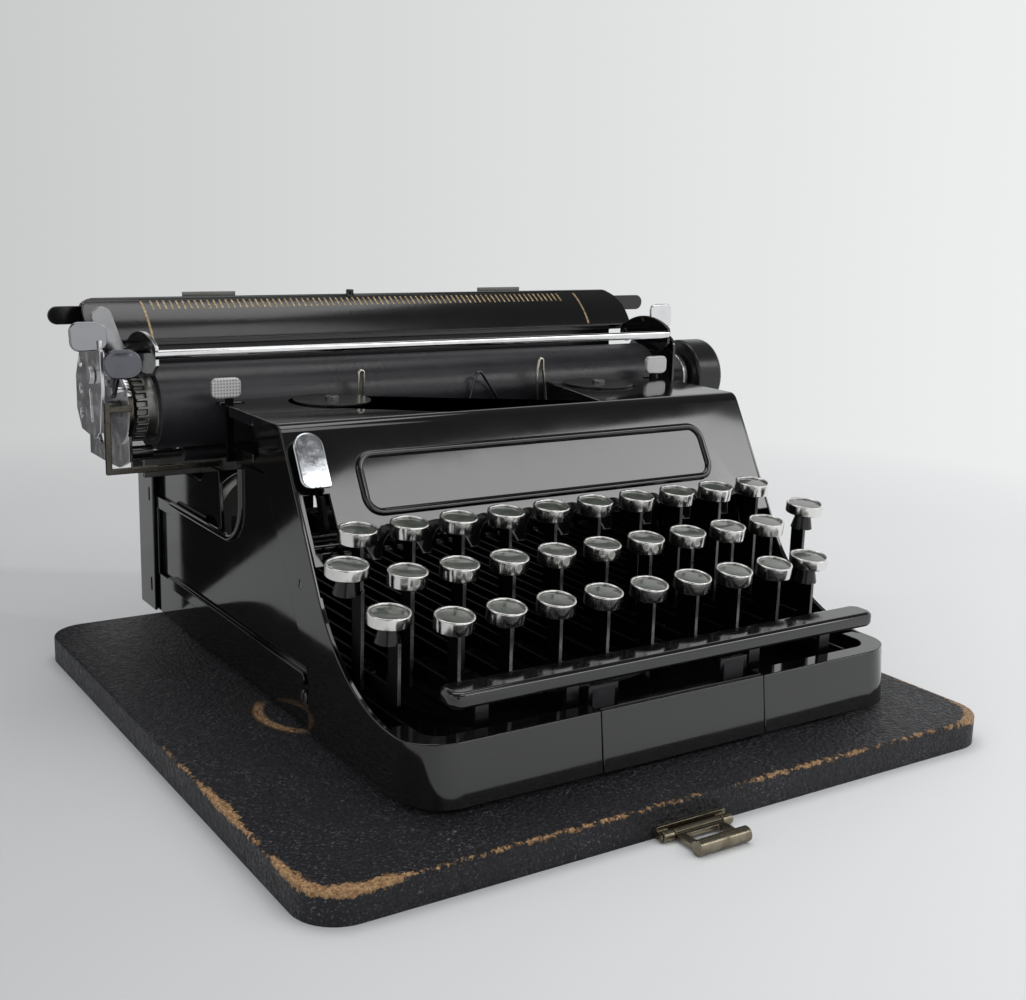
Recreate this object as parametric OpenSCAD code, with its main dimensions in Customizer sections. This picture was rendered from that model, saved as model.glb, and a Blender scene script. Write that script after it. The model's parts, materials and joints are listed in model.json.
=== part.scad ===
// Portable typewriter on the base board of its travelling case.
// Millimetres. X runs along the keyboard, Y towards the back, Z up.
// The modules are drawn in the machine's own frame: x = 0 on its middle plane, y = 0 under the
// top row of keys and z = 0 on the board. place() moves them to the middle of the part's foot.

/* [Case board] */
// Width of the board
board_w = 266; // [240:1:320]
// Depth of the board
board_d = 254.5; // [230:0.5:300]
// Thickness of the board
board_t = 10.3; // [8:0.1:16]
// Radius of the board's corners seen from above
board_r = 14; // [4:0.5:30]
// How far the board's middle lies to the left of the machine's middle
board_left = 12.2; // [0:0.1:15]
// Board that shows in front of the machine
board_margin = 26; // [20:0.5:40]
// Width of the hinged hasp at the board's front edge
hasp_w = 27; // [20:1:40]
// Length of the hasp, folded forward
hasp_l = 14; // [10:0.5:20]

/* [Casing] */
// Width over the casing
body_w = 200; // [196:1:240]
// Distance from the top row of keys forward to the front of the skirt
skirt_y = 67.5; // [64:0.5:80]
// Distance from the top row of keys back to the rear cover's outer face
rear_y = 178; // [172:1:200]
// Thickness of the casing's sheet
sheet = 1.2; // [1:0.1:1.6]
// Height of the skirt's top edge
skirt_top = 21.2; // [19:0.1:23]
// Radius of the skirt's front corners
skirt_r = 15; // [8:0.5:20]
// Width of the flange turned in along the skirt's top edge
flange_w = 8; // [4:0.5:8.5]
// Height of the deck above the board
deck_z = 101; // [100:0.5:106]
// Distance from the top row of keys back to the fold between panel and deck
fold_y = 29; // [28:0.5:34]
// Slope of the front panel from level
panel_slope = 60; // [57:0.5:64]
// Radius of the sweep from the skirt up to the panel
sweep_r = 57; // [40:1:62]
// Depth of the cheeks behind the panel's slope
cheek_d = 24.3; // [16:0.1:28]
// Height of the rear cover
rear_h = 60; // [40:1:64]
// Width of the loose middle part of the skirt, which belongs to the base
lip_w = 68; // [62:1:69]

/* [Keyboard] */
// Spacing of the keys in a row
key_pitch = 19; // [18.6:0.1:19.6]
// Outer diameter of a key's ring
ring_d = 13.2; // [12:0.1:15]
// Height of a key's ring
ring_h = 3.7; // [3:0.1:5]
// Outer diameter of a shift key's ring
shift_ring_d = 14.4; // [13:0.1:16]
// Thickness of the key levers
lever_t = 1.3; // [1:0.1:1.6]
// Height of the key levers' section
lever_h = 5; // [4:0.1:6]
// Depth of the upright stems under the keys
stem_d = 6.4; // [4:0.1:7]
// Height of the top row's key tops
row_1_z = 70.5; // [68:0.5:74]
// Height of the middle row's key tops
row_2_z = 61.2; // [58:0.5:64]
// Height of the bottom row's key tops
row_3_z = 50.8; // [48:0.5:54]
// Distance from the top row to the middle row
row_2_y = 22.3; // [20:0.1:24]
// Distance from the top row to the bottom row
row_3_y = 40.9; // [39:0.1:43]
// Diameter of the rod that the levers turn on
rod_d = 4.8; // [3.5:0.1:5.5]
// Length of the space bar
space_w = 173; // [150:1:176]
// Depth of the space bar
space_d = 11; // [9:0.5:12]
// Height of the space bar's section
space_h = 5.2; // [4:0.1:6]

/* [Type action] */
// Where the print point lies to the right of the machine's middle
print_x = 11; // [0:0.5:14]
// Length of a typebar from its pivot to its face
typebar_l = 38; // [34:1:39]
// Radius of the arc that the typebars pivot on
segment_r = 14; // [13:0.5:16]
// Number of typebars
typebar_n = 27; // [9:2:27]
// Thickness of a typebar
typebar_t = 0.7; // [0.5:0.1:0.8]
// Radius of the comb under the levers
comb_r = 62; // [50:1:66]
// Width of one tooth of the comb
comb_tooth = 5; // [3:0.1:5.6]

/* [Carriage] */
// Radius of the platen
platen_r = 15.6; // [14:0.1:16]
// Length of the platen
platen_l = 226.5; // [200:0.5:240]
// How far the carriage's middle lies to the left of the machine's middle
carriage_left = 6.2; // [0:0.1:10]
// Distance from the top row of keys back to the platen's axis
platen_y = 103; // [102:0.5:106]
// Height of the platen's axis
platen_z = 97.5; // [96.5:0.5:100]
// Diameter of the platen's axle
axle_d = 6; // [4:0.2:8]
// Radius of the platen's turning knob
knob_r = 16.3; // [10:0.1:17]
// Length of the knob
knob_l = 11.5; // [8:0.5:16]
// How far the shift keys lift the platen
shift_lift = 6; // [4:0.5:6]
// Length of the paper table
table_l = 252; // [220:1:256]
// Radius of the paper table's curve
table_r = 36; // [30:0.5:42]
// Lean of the paper table's top edge from level
table_lean = 26; // [20:2:36]
// Height of the paper bail's strip
bail_h = 3.2; // [2:0.1:5]
// Radius of the left end plate's disc
disc_r = 12.8; // [10:0.1:14]

/* [Fits] */
// Gap between a turning part and its pin, on the radius
run_gap = 0.05; // [0.02:0.01:0.1]
// Gap left between parts that pass each other
pass_gap = 0.3; // [0.2:0.05:0.6]

/* [Hidden] */
KEYS = [for (i = [1:10]) str("key_top_", i), for (i = [1:9]) str("key_middle_", i),
    for (i = [1:8]) str("key_bottom_", i)];

$fn = 48;
eps = 0.01;
half_w = body_w / 2;
inner_w = half_w - sheet;

// Front outline of the cheeks, seen from the side
slope_run = 1 / tan(panel_slope);
function panel_y(z) = fold_y - (deck_z - z) * slope_run;
sweep_t = sweep_r * tan(panel_slope / 2);
sweep_foot_y = panel_y(skirt_top) - sweep_t;
sweep_c = [sweep_foot_y, skirt_top + sweep_r];
fold_r = 5;
fold_t = fold_r * tan(panel_slope / 2);
fold_c = [fold_y + fold_t, deck_z - fold_r];
deck_rear_y = platen_y - max(knob_r, platen_r) - 0.5;

// Case board
board_front_y = -skirt_y - board_margin;
board_x0 = -board_left - board_w / 2;
hasp_x = -19.5;
hasp_pin_r = 0.9;
hasp_wall = 0.8;
hasp_roll_r = 2.4;
hasp_y = board_front_y - 3.4;
hasp_z = -board_t + hasp_pin_r + hasp_wall + 0.1;
hasp_front_y = hasp_y - hasp_l;

// Foot of the whole part
carriage_x = -carriage_left;
platen_x0 = carriage_x - platen_l / 2;
platen_x1 = carriage_x + platen_l / 2;
plate_t = 1.4;
plate_l_x = platen_x0 - 9;
plate_r_x = platen_x1 + 9;
tab_w = 13.2;
line_x = plate_l_x - 10.2;
knob_x = plate_r_x + plate_t + 15.6;
knob_end_x = knob_x + knob_l;
x_mid = (line_x - 2.9 - tab_w / 2 + knob_end_x) / 2;
y_mid = (hasp_front_y + rear_y) / 2;

// Levers
lever_step = key_pitch / 3;
first_x = -4.5 * key_pitch;
row_y = [0, -row_2_y, -row_3_y];
row_z = [row_1_z, row_2_z, row_3_z];
row_n = [10, 9, 8];
rod_y = 118;
rod_z = 26.5;
rod_r = rod_d / 2;
lever_z = 24;
boss_r = rod_r + 2.4;
frame_t = 1.4;
side_t = 1.2;
side_gap = 0.2;
side_x = inner_w - side_gap - side_t;
frame_x = side_x - 0.4 - frame_t;

// Shift keys: place of each ring and of the lever below it
figures_left = [-half_w + 2, -17.7, 65];
figures_right = [half_w - 3.3, -17.7, 65];
caps_left = [-half_w + 7, -36, 54];
caps_right = [first_x + 26 * lever_step + 0.3, -38.7, 51.2];
figures_lever_x = frame_x - 1.4;
caps_lever_x = frame_x - 4.6;
space_lever_x = frame_x - 7.4;
comb_z = 9;
comb_h = 6.6;

// Space bar
space_y = -skirt_y - 2.2;
space_z = 32.3;
space_arm_y = space_y + space_d;
space_x = -3.5;
arm_y = space_arm_y + 2.1;
arm_t = 1.6;
space_pivot = [60, 15.5];
space_pin_r = 1.8;
arm_x = lip_w / 2 + 4.4;
arm_outer_x = 72;
arm_w = 5;

// Type action
tilt = 20;
print_y = platen_y - platen_r - 0.5;
print_z = 104;
swing_h = sqrt(typebar_l * typebar_l - segment_r * segment_r);
seg_c = [print_x, print_y - swing_h * sin(tilt), print_z - swing_h * cos(tilt)];
typebar_span = 154;
typebar_step = typebar_span / (typebar_n - 1);
type_pin_r = 0.5;
segment_t = 5;
bar_y = 76;
bar_z = 50;

// Ribbon
spool_x = 61;
spool_y = deck_rear_y - 16.2;
spool_r = 14.4;
spool_top = deck_z + 0.8;
spindle_r = 2;
reverse_y = spool_y + 8.5;
reverse_z = 79.6;
tab_x = half_w - 1.5;

// Carriage
axle_r = axle_d / 2;
rail_y = 127;
rail_z = 66;
rail_s = 6;
truck_z = rail_z + rail_s + 1;
frame_bar_z = truck_z + 1.7;
frame_rear_y = rail_y + 15;
guide_r = 2;
guide_xs = [-80, 76];
strap_x = plate_l_x - 11;
strap_z = 76.2;
strap_s = 2;
feed_r = 3.5;
feed_c = [platen_y + 5, platen_z - sqrt(pow(platen_r + feed_r + pass_gap, 2) - 25)];
table_foot = [platen_y + 20, platen_z + 22];
table_c = table_foot + table_r * [sin(60), -cos(60)];
table_top = table_c + table_r * [-sin(table_lean), cos(table_lean)];
table_roll_r = 1.7;
table_roll = table_top + [0.8, -1];
table_top_z = table_roll[1] + table_roll_r;
table_x0 = platen_x0 - 14.5;
table_x1 = table_x0 + table_l;
ledge_x0 = table_x0 - 10;
ledge_x1 = table_x1 + 20;
ledge_t = 1.4;
ledge_h = 6.8;
ledge_y = table_roll[0] + 1.8;
ledge_z = table_top_z - 6.6;
bail_y = platen_y - platen_r - 0.8;
bail_z = platen_z + platen_r + 5.4;
bail_pivot = [platen_y + 13.5, platen_z + platen_r + 3.9];
bail_pin_r = 1.5;
bail_arm_l_x = platen_x0 - 1.6;
bail_arm_r_x = platen_x1 + 3.6;
line_pin = [platen_y + 0.9, platen_z + 12.6];
line_pin_r = 2;
lever_pin_r = 1.5;
release_pin = [platen_y + 6, platen_z + 9];
ratchet_pin = [platen_y - 6.4, platen_z + 7.4];
paper_pin = [platen_y + 6.5, platen_z + 10.5];
drum_c = [-60, 150, 42];
drum_r = 18;

module place() {
    translate([-x_mid, -y_mid, board_t]) children();
}

// A box between two corners
module block(a, b) {
    translate(a) cube([b[0] - a[0], b[1] - a[1], b[2] - a[2]]);
}

// A cylinder along X from x0 to x1
module rod_along_x(x0, x1, r, y, z) {
    translate([x0, y, z]) rotate([0, 90, 0]) cylinder(r = r, h = x1 - x0);
}

// A cylinder along Y from y0 to y1
module rod_along_y(y0, y1, r, x, z) {
    translate([x, y0, z]) rotate([-90, 0, 0]) cylinder(r = r, h = y1 - y0);
}

// A flat outline given as [y, z] points, standing across X from x0 to x1
module side_outline(x0, x1) {
    translate([x0, 0, 0]) rotate([90, 0, 90]) linear_extrude(height = x1 - x0) children();
}

module mirror_pair() {
    children();
    mirror([1, 0, 0]) children();
}

// A rounded rectangle about the origin, made of true arcs
module round_rect(w, d, r) {
    square([w - 2 * r, d], center = true);
    square([w, d - 2 * r], center = true);
    for (sx = [-1, 1]) {
        for (sy = [-1, 1]) {
            translate([sx * (w / 2 - r), sy * (d / 2 - r)]) circle(r = r);
        }
    }
}

// A slot outline with round ends between two points
module strap(a, b, w) {
    d = b - a;
    l = norm(d);
    translate(a) rotate(atan2(d[1], d[0])) {
        translate([0, -w / 2]) square([l, w]);
        circle(d = w);
        translate([l, 0]) circle(d = w);
    }
}

function arc_points(c, r, a0, a1, n) =
    [for (i = [0:n]) [c[0] + r * cos(a0 + (a1 - a0) * i / n), c[1] + r * sin(a0 + (a1 - a0) * i / n)]];

// Case board with the fixed leaf of its hasp
module board_body() {
    translate([-board_left, board_front_y + board_d / 2, -board_t]) {
        linear_extrude(height = board_t) round_rect(board_w, board_d, board_r);
    }
}

module hasp_knuckle(x0, x1) {
    difference() {
        rod_along_x(x0, x1, hasp_pin_r + hasp_wall, hasp_y, hasp_z);
        rod_along_x(x0 - 1, x1 + 1, hasp_pin_r + run_gap, hasp_y, hasp_z);
    }
}

module case_board() {
    color([0.07, 0.07, 0.075]) place() {
        board_body();
        for (s = [-1, 1]) {
            x0 = hasp_x + s * (hasp_w / 2 - 2) - 2;
            difference() {
                block([x0, hasp_y, hasp_z - hasp_wall], [x0 + 4, board_front_y + eps, hasp_z + hasp_wall]);
                rod_along_x(x0 - 1, x0 + 5, hasp_pin_r + 0.4, hasp_y, hasp_z);
            }
            hasp_knuckle(x0, x0 + 4);
        }
        block([hasp_x - hasp_w / 2, board_front_y - 1, -board_t + 0.2], [hasp_x + hasp_w / 2, board_front_y, -board_t + 4]);
        rod_along_x(hasp_x - hasp_w / 2 - 0.5, hasp_x + hasp_w / 2 + 0.5, hasp_pin_r, hasp_y, hasp_z);
    }
}

// Loop with a window and a rolled front bar
module board_hasp() {
    color([0.5, 0.46, 0.36]) place() {
        w = hasp_w - 8 - 2 * pass_gap;
        z0 = hasp_z - hasp_wall;
        roll_y = hasp_front_y + hasp_roll_r;
        hasp_knuckle(hasp_x - w / 2, hasp_x + w / 2);
        difference() {
            block([hasp_x - w / 2, roll_y, z0], [hasp_x + w / 2, hasp_y, z0 + 2 * hasp_wall]);
            rod_along_x(hasp_x - hasp_w, hasp_x + hasp_w, hasp_pin_r + 0.3, hasp_y, hasp_z);
            block([hasp_x - w / 2 + 3, roll_y + 2, z0 - 1], [hasp_x + w / 2 - 3, hasp_y - 3, z0 + 3]);
        }
        rod_along_x(hasp_x - w / 2 - 0.8, hasp_x + w / 2 + 0.8, hasp_roll_r, roll_y, -board_t + hasp_roll_r + 0.1);
    }
}

// Outline of the skirt seen from above, drawn in by a margin; it runs back to y_end
module skirt_plan(inset, y_end) {
    r = skirt_r - inset;
    w = half_w - inset;
    difference() {
        union() {
            translate([-w, -skirt_y + inset + r]) square([2 * w, y_end + skirt_y - inset - r]);
            translate([-w + r, -skirt_y + inset]) square([2 * w - 2 * r, r + eps]);
            for (s = [-1, 1]) {
                translate([s * (w - r), -skirt_y + inset + r]) circle(r = r);
            }
        }
        translate([-2 * w, y_end]) square([4 * w, 400]);
    }
}

cheek_foot_y = panel_y(skirt_top) + cheek_d;

// The cheek seen from the side, with its rear edge along the side plate's seam
module cheek_outline() {
    polygon(concat(
        [[-skirt_y + skirt_r, skirt_top]],
        arc_points(sweep_c, sweep_r, -90, -90 + panel_slope, 24),
        arc_points(fold_c, fold_r, 90 + panel_slope, 90, 6),
        [[fold_y + cheek_d, deck_z], [panel_y(81) + cheek_d, 81],
        [panel_y(26) + cheek_d, 26], [cheek_foot_y, skirt_top - 3], [-skirt_y + skirt_r, skirt_top - 3]]));
}

// The panel and deck seen from the side, as one bent sheet
panel_foot_z = 58;
module panel_outline() {
    t = [sin(panel_slope) * sheet, -cos(panel_slope) * sheet];
    foot = [panel_y(panel_foot_z), panel_foot_z];
    polygon(concat(
        [foot],
        arc_points(fold_c, fold_r, 90 + panel_slope, 90, 6),
        [[deck_rear_y, deck_z], [deck_rear_y, deck_z - sheet]],
        arc_points(fold_c, fold_r - sheet, 90, 90 + panel_slope, 6),
        [foot + t]));
}

// Places its children on the front panel's face: x along the panel, y up the slope, z out of it
module on_panel(z) {
    translate([0, panel_y(z), z]) rotate([panel_slope, 0, 0]) children();
}

module deck_opening() {
    translate([0, 0, deck_z - 4]) linear_extrude(height = 8) {
        polygon([[-34, fold_y + 2.9], [34, fold_y + 2.9], [46, deck_rear_y + 1], [-46, deck_rear_y + 1]]);
    }
}

name_frame_w = 151;
name_frame_h = 22;
name_frame_z = 81;

module front_shell() {
    color([0.02, 0.02, 0.025]) place() difference() {
        union() {
            side_outline(-half_w, half_w) panel_outline();
            mirror_pair() side_outline(-half_w, -inner_w) cheek_outline();
            difference() {
                union() {
                    translate([0, 0, sheet]) linear_extrude(height = skirt_top - sheet) difference() {
                        skirt_plan(0, cheek_foot_y);
                        skirt_plan(sheet, cheek_foot_y + 1);
                    }
                    translate([0, 0, skirt_top - sheet]) linear_extrude(height = sheet) difference() {
                        skirt_plan(0, sweep_foot_y + 4);
                        skirt_plan(flange_w, sweep_foot_y + 5);
                    }
                }
                block([-lip_w / 2 - 0.2, -skirt_y - 1, -1], [lip_w / 2 + 0.2, -skirt_y + skirt_r + 2, skirt_top + 1]);
            }
            // Narrow lip turned in along the cheeks' sweep
            mirror_pair() side_outline(-half_w, -half_w + 1.8) difference() {
                polygon(concat(
                    arc_points(sweep_c, sweep_r, -90, -90 + panel_slope, 24),
                    arc_points(sweep_c, sweep_r + sheet, -90 + panel_slope, -90, 24)));
                translate([-200, -200 + skirt_top - sheet]) square([200 + sweep_foot_y, 200]);
            }
            // Narrow lip under the deck's sides
            mirror_pair() block([-half_w, fold_y + cheek_d - 2, deck_z - 4], [-inner_w, reverse_y - 5, deck_z - eps]);
        }
        deck_opening();
        for (s = [-1, 1]) {
            translate([s * spool_x, spool_y, deck_z - 4]) cylinder(r = spool_r + 1.2, h = 8);
            translate([s * (half_w - 3.2) - 5, reverse_y - 1.6, deck_z - 6]) cube([10, 4.6, 12]);
        }
        for (i = [0:row_n[0] - 1]) {
            translate([first_x + i * key_pitch, 0, 30]) cylinder(r = ring_d / 2 + 2.4, h = 50);
        }
        // Groove of the plain name frame
        on_panel(name_frame_z) translate([0, 0, -0.5]) linear_extrude(height = 3) difference() {
            round_rect(name_frame_w, name_frame_h, 5);
            round_rect(name_frame_w - 3.4, name_frame_h - 3.4, 3.4);
        }
        // Slot of the back-space lever
        block([-97, 0, 62], [-88, 40, 79]);
        rod_along_x(-half_w - 1, half_w + 1, 1.3, panel_y(50.5) + cheek_d - 10.8, 50.5);
    }
}

// Left and right side plates, set in behind the cheeks, each with its proud bottom bead
side_front = 5;
module side_plate_outline() {
    top = 81;
    r = 15;
    difference() {
        polygon(concat(
            [[cheek_foot_y - 2, sheet + 0.3], [cheek_foot_y - 2, skirt_top], [panel_y(26) + cheek_d - side_front, 26]],
            arc_points([panel_y(top) + cheek_d + 1, top - 6], 6, 150, 90, 6),
            [[66, top], [66, 51 + r]],
            arc_points([66 + r, 51 + r], r, 180, 270, 12),
            [[rear_y - sheet - pass_gap - 8, 51], [rear_y - sheet - pass_gap - 8, sheet + 0.3]]));
        // Open bay in front of the rear cover
        translate([142, 18]) square([16, 28]);
        translate([cheek_foot_y + 4, 11.7]) circle(r = 1.3);
    }
}

module side_plates() {
    color([0.02, 0.02, 0.025]) place() mirror_pair() {
        side_outline(-side_x - side_t, -side_x) side_plate_outline();
        z = 18.4;
        side_outline(-half_w - 0.4, -side_x - side_t + eps) strap([cheek_foot_y + 4.6, z], [140, z], 4.6);
    }
}

module rear_cover() {
    color([0.02, 0.02, 0.025]) place() difference() {
        union() {
            block([-half_w, rear_y - sheet, sheet], [half_w, rear_y, rear_h]);
            mirror_pair() block([-half_w, 160, sheet], [-inner_w, rear_y, rear_h]);
            mirror_pair() block([-half_w, rear_y - 5, rear_h - sheet], [-inner_w + 14, rear_y, rear_h]);
        }
        for (z = [12, rear_h - 9]) {
            side_outline(-half_w - 1, half_w + 1) strap([164, z - 2], [164, z + 2], 1.6);
        }
        // Row of cooling slots for the escapement's sound to leave
        for (i = [-4:4]) {
            translate([i * 9, rear_y + 1, 34]) rotate([90, 0, 0]) linear_extrude(height = 4) {
                strap([0, -6], [0, 6], 2);
            }
        }
    }
}

module base_pan() {
    color([0.03, 0.03, 0.035]) place() {
        union() {
            translate([0, 0, sheet]) linear_extrude(height = sheet) skirt_plan(half_w - side_x + 0.3, rear_y - sheet - 0.3);
            // Loose middle part of the skirt
            block([-lip_w / 2, -skirt_y, sheet], [lip_w / 2, -skirt_y + sheet, skirt_top]);
            block([-lip_w / 2, -skirt_y, sheet], [lip_w / 2, -skirt_y + 5, 2 * sheet]);
            rod_along_x(-lip_w / 2, lip_w / 2, 1, -skirt_y + 1, skirt_top - 1);
            for (sx = [-1, 1]) {
                for (y = [-48, 150]) {
                    translate([sx * 80, y, 0]) cylinder(r = 8, h = sheet + eps);
                }
            }
        }
    }
}

// Fixed inner frame: side frames, cross bars, lever rod, carriage rail and ribbon brackets
module frame_side_outline() {
    polygon(concat([[cheek_foot_y - 3, 2 * sheet], [rear_y - 8, 2 * sheet], [rear_y - 8, 56], [164, 58], [156, 74],
        [frame_rear_y + 4, 74], [frame_rear_y + 2, rail_z]],
        arc_points([114, rail_z + 6], 6, 270, 180, 6),
        [[108, 74], [92, 74], [90, 50], [76, 50], [66, 78], [46, 92], [38, 92], [18, 54]]));
}

module main_frame() {
    color([0.08, 0.08, 0.085]) place() {
        mirror_pair() side_outline(-frame_x - frame_t, -frame_x) difference() {
            frame_side_outline();
            translate([60, 40]) circle(r = 9);
            translate([100, 46]) circle(r = 9);
        }
        rod_along_x(-frame_x - frame_t, frame_x + frame_t, rod_r, rod_y, rod_z);
        for (p = [[66, 8], [150, 8]]) {
            rod_along_x(-frame_x - eps, frame_x + eps, 3, p[0], p[1]);
        }
        // Bar that carries the type segment
        block([-frame_x - eps, bar_y, bar_z], [frame_x + eps, bar_y + 8, bar_z + 8]);
        // Carriage rail on its side frames
        block([-frame_x - frame_t, rail_y, rail_z], [frame_x + frame_t, rail_y + rail_s, rail_z + rail_s]);
        // Pins of the space bar and of the back-space lever
        mirror_pair() rod_along_x(-frame_x - eps, -space_lever_x + 2, space_pin_r, space_pivot[0], space_pivot[1]);
        rod_along_x(-frame_x - eps, -86, 2, 60, 70);
        // Brackets and spindles of the ribbon spools
        mirror_pair() {
            block([-frame_x - eps, spool_y - 8, 84], [-spool_x + 8, spool_y + 8, 85.2]);
            block([-frame_x - eps, spool_y - 8, 60], [-frame_x + 1.2, spool_y + 8, 85.2]);
            translate([-spool_x, spool_y, 84]) cylinder(r = spindle_r, h = spool_top - 84.8);
        }
        // Shaft of the mainspring drum
        rod_along_x(-frame_x - eps, frame_x + eps, 2.5, drum_c[1] + 12, drum_c[2] - 24);
        rod_along_y(drum_c[1] - 10, drum_c[1] + 14, 3, drum_c[0], drum_c[2]);
        block([drum_c[0] - 8, drum_c[1] + 10, drum_c[2] - 26], [drum_c[0] + 8, drum_c[1] + 14, drum_c[2] + 6]);
    }
}

// Toothed half ring on the base, under the levers
module key_comb() {
    color([0.2, 0.2, 0.21]) place() translate([0, 42, comb_z]) {
        step = 5.8;
        difference() {
            cylinder(r = comb_r + 1.4, h = 1.2);
            translate([0, 0, -1]) cylinder(r = comb_r - 5, h = 4);
            translate([-100, 4, -1]) cube([200, 100, 4]);
        }
        for (i = [-15:15]) {
            rotate(i * step) translate([-comb_tooth / 2, -comb_r, 0]) cube([comb_tooth, 3, comb_h]);
        }
        for (a = [-80, 0, 80]) {
            rotate(a) translate([-3, -comb_r + 1, 2 * sheet - comb_z]) cube([6, 2, comb_z - 2 * sheet + eps]);
        }
    }
}

// Key tops: a chrome ring with its glass and legend disc on a black cup
module key_top(d, h) {
    ring_t = 0.9;
    difference() {
        cylinder(r = d / 2, h = h);
        translate([0, 0, h - 1.6]) cylinder(r = d / 2 - ring_t, h = 2);
    }
    translate([0, 0, h - 1.6]) cylinder(r = d / 2 - ring_t, h = 1.2);
}

// One lever from its stem back to the rod, in the plane x
module lever_bar(x, y, top) {
    side_outline(x - lever_t / 2, x + lever_t / 2) difference() {
        union() {
            translate([y - stem_d / 2, lever_z]) square([rod_y - y + stem_d / 2, lever_h]);
            translate([y - stem_d / 2, lever_z]) square([stem_d, top - lever_z]);
            translate([rod_y, rod_z]) circle(r = boss_r);
        }
        translate([rod_y, rod_z]) circle(r = rod_r + run_gap);
    }
}

module key(row, i) {
    x = first_x + row * lever_step + i * key_pitch;
    y = row_y[row];
    top = row_z[row] - ring_h;
    color([0.75, 0.75, 0.77]) place() {
        lever_bar(x, y, top);
        translate([x, y, top - 1.4]) cylinder(r1 = 3.4, r2 = ring_d / 2 - 1.2, h = 1.4);
        translate([x, y, top]) key_top(ring_d, ring_h);
    }
}

module shift_key(ring, lever_x) {
    top = ring[2] - ring_h;
    lever_bar(lever_x, ring[1], top - 4);
    translate([ring[0], ring[1], top - 6]) cylinder(r1 = 4.4, r2 = shift_ring_d / 2 - 1, h = 6);
    translate([ring[0], ring[1], top]) key_top(shift_ring_d, ring_h);
}

// Tail of a shift lever behind the rod, which the cross bar joins
module shift_tail(x, y1, z) {
    side_outline(x - lever_t / 2, x + lever_t / 2) difference() {
        strap([rod_y, rod_z], [y1, z], 4);
        translate([rod_y, rod_z]) circle(r = rod_r + run_gap);
    }
}

module shift_pair(left, right, left_x, right_x, bar) {
    shift_key(left, left_x);
    shift_key(right, right_x);
    shift_tail(left_x, bar[0], bar[1]);
    shift_tail(right_x, bar[0], bar[1]);
    rod_along_x(left_x - lever_t / 2, right_x + lever_t / 2, 1.6, bar[0], bar[1]);
}

module shift_caps() {
    color([0.75, 0.75, 0.77]) place() {
        shift_pair(caps_left, caps_right, -caps_lever_x, first_x + 26 * lever_step, [131, 33]);
    }
}

module shift_figures() {
    color([0.75, 0.75, 0.77]) place() {
        shift_pair(figures_left, figures_right, -figures_lever_x, figures_lever_x, [138, 29]);
    }
}

module space_bar() {
    color([0.02, 0.02, 0.025]) place() {
        // The bar: its section drawn along X, with round ends seen from above
        intersection() {
            side_outline(space_x - space_w / 2, space_x + space_w / 2) {
                c = 1;
                polygon([[space_y, space_z + c], [space_y + c, space_z], [space_y + space_d - c, space_z],
                    [space_y + space_d, space_z + c], [space_y + space_d, space_z + space_h - c],
                    [space_y + space_d - c, space_z + space_h], [space_y + 2, space_z + space_h],
                    [space_y, space_z + space_h - 1.6]]);
            }
            translate([space_x, space_y + space_d / 2, space_z - 1]) linear_extrude(height = space_h + 2) {
                round_rect(space_w, space_d, 5);
            }
        }
        for (s = [-1, 1]) {
            for (x = [arm_x, arm_outer_x]) {
                block([s * x - arm_w / 2, arm_y, 13.5], [s * x + arm_w / 2, arm_y + arm_t, space_z + eps]);
                block([s * x - arm_w / 2, space_arm_y - 3, space_z - arm_t], [s * x + arm_w / 2, arm_y + arm_t, space_z + eps]);
            }
            x = s * space_lever_x;
            side_outline(x - lever_t / 2, x + lever_t / 2) difference() {
                union() {
                    translate([space_arm_y + 2.6, 13.5]) square([space_pivot[0] - space_arm_y, 4]);
                    translate(space_pivot) circle(r = 4);
                }
                translate(space_pivot) circle(r = space_pin_r + run_gap);
            }
        }
        block([-space_lever_x - lever_t / 2, space_arm_y + 2.6, 13.5], [space_lever_x + lever_t / 2, space_arm_y + 5, 17.5]);
    }
}

module back_space() {
    color([0.85, 0.86, 0.88]) place() {
        x = -93;
        side_outline(x - 0.8, x + 0.8) difference() {
            union() {
                strap([60, 70], [panel_y(70) - 2, 70], 5);
                strap([panel_y(70) - 2, 70], [panel_y(78) - 4, 78], 4);
                strap([panel_y(78) - 4, 78], [panel_y(82) - 3.2, 82], 3);
            }
            translate([60, 70]) circle(r = 2 + run_gap);
        }
        on_panel(80) translate([x, 0, 2.6]) linear_extrude(height = 1.4) {
            strap([0, 5.2], [0, 15], 10.4);
            translate([-5.2, 0]) square([10.4, 6]);
        }
    }
}

// Places its children at one typebar: x across the bar, y outward from the pivot, z along the arc's axis
module at_typebar(a) {
    translate(seg_c) rotate([-tilt, 0, 0]) rotate(180 + a) translate([0, segment_r, 0]) children();
}

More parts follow.
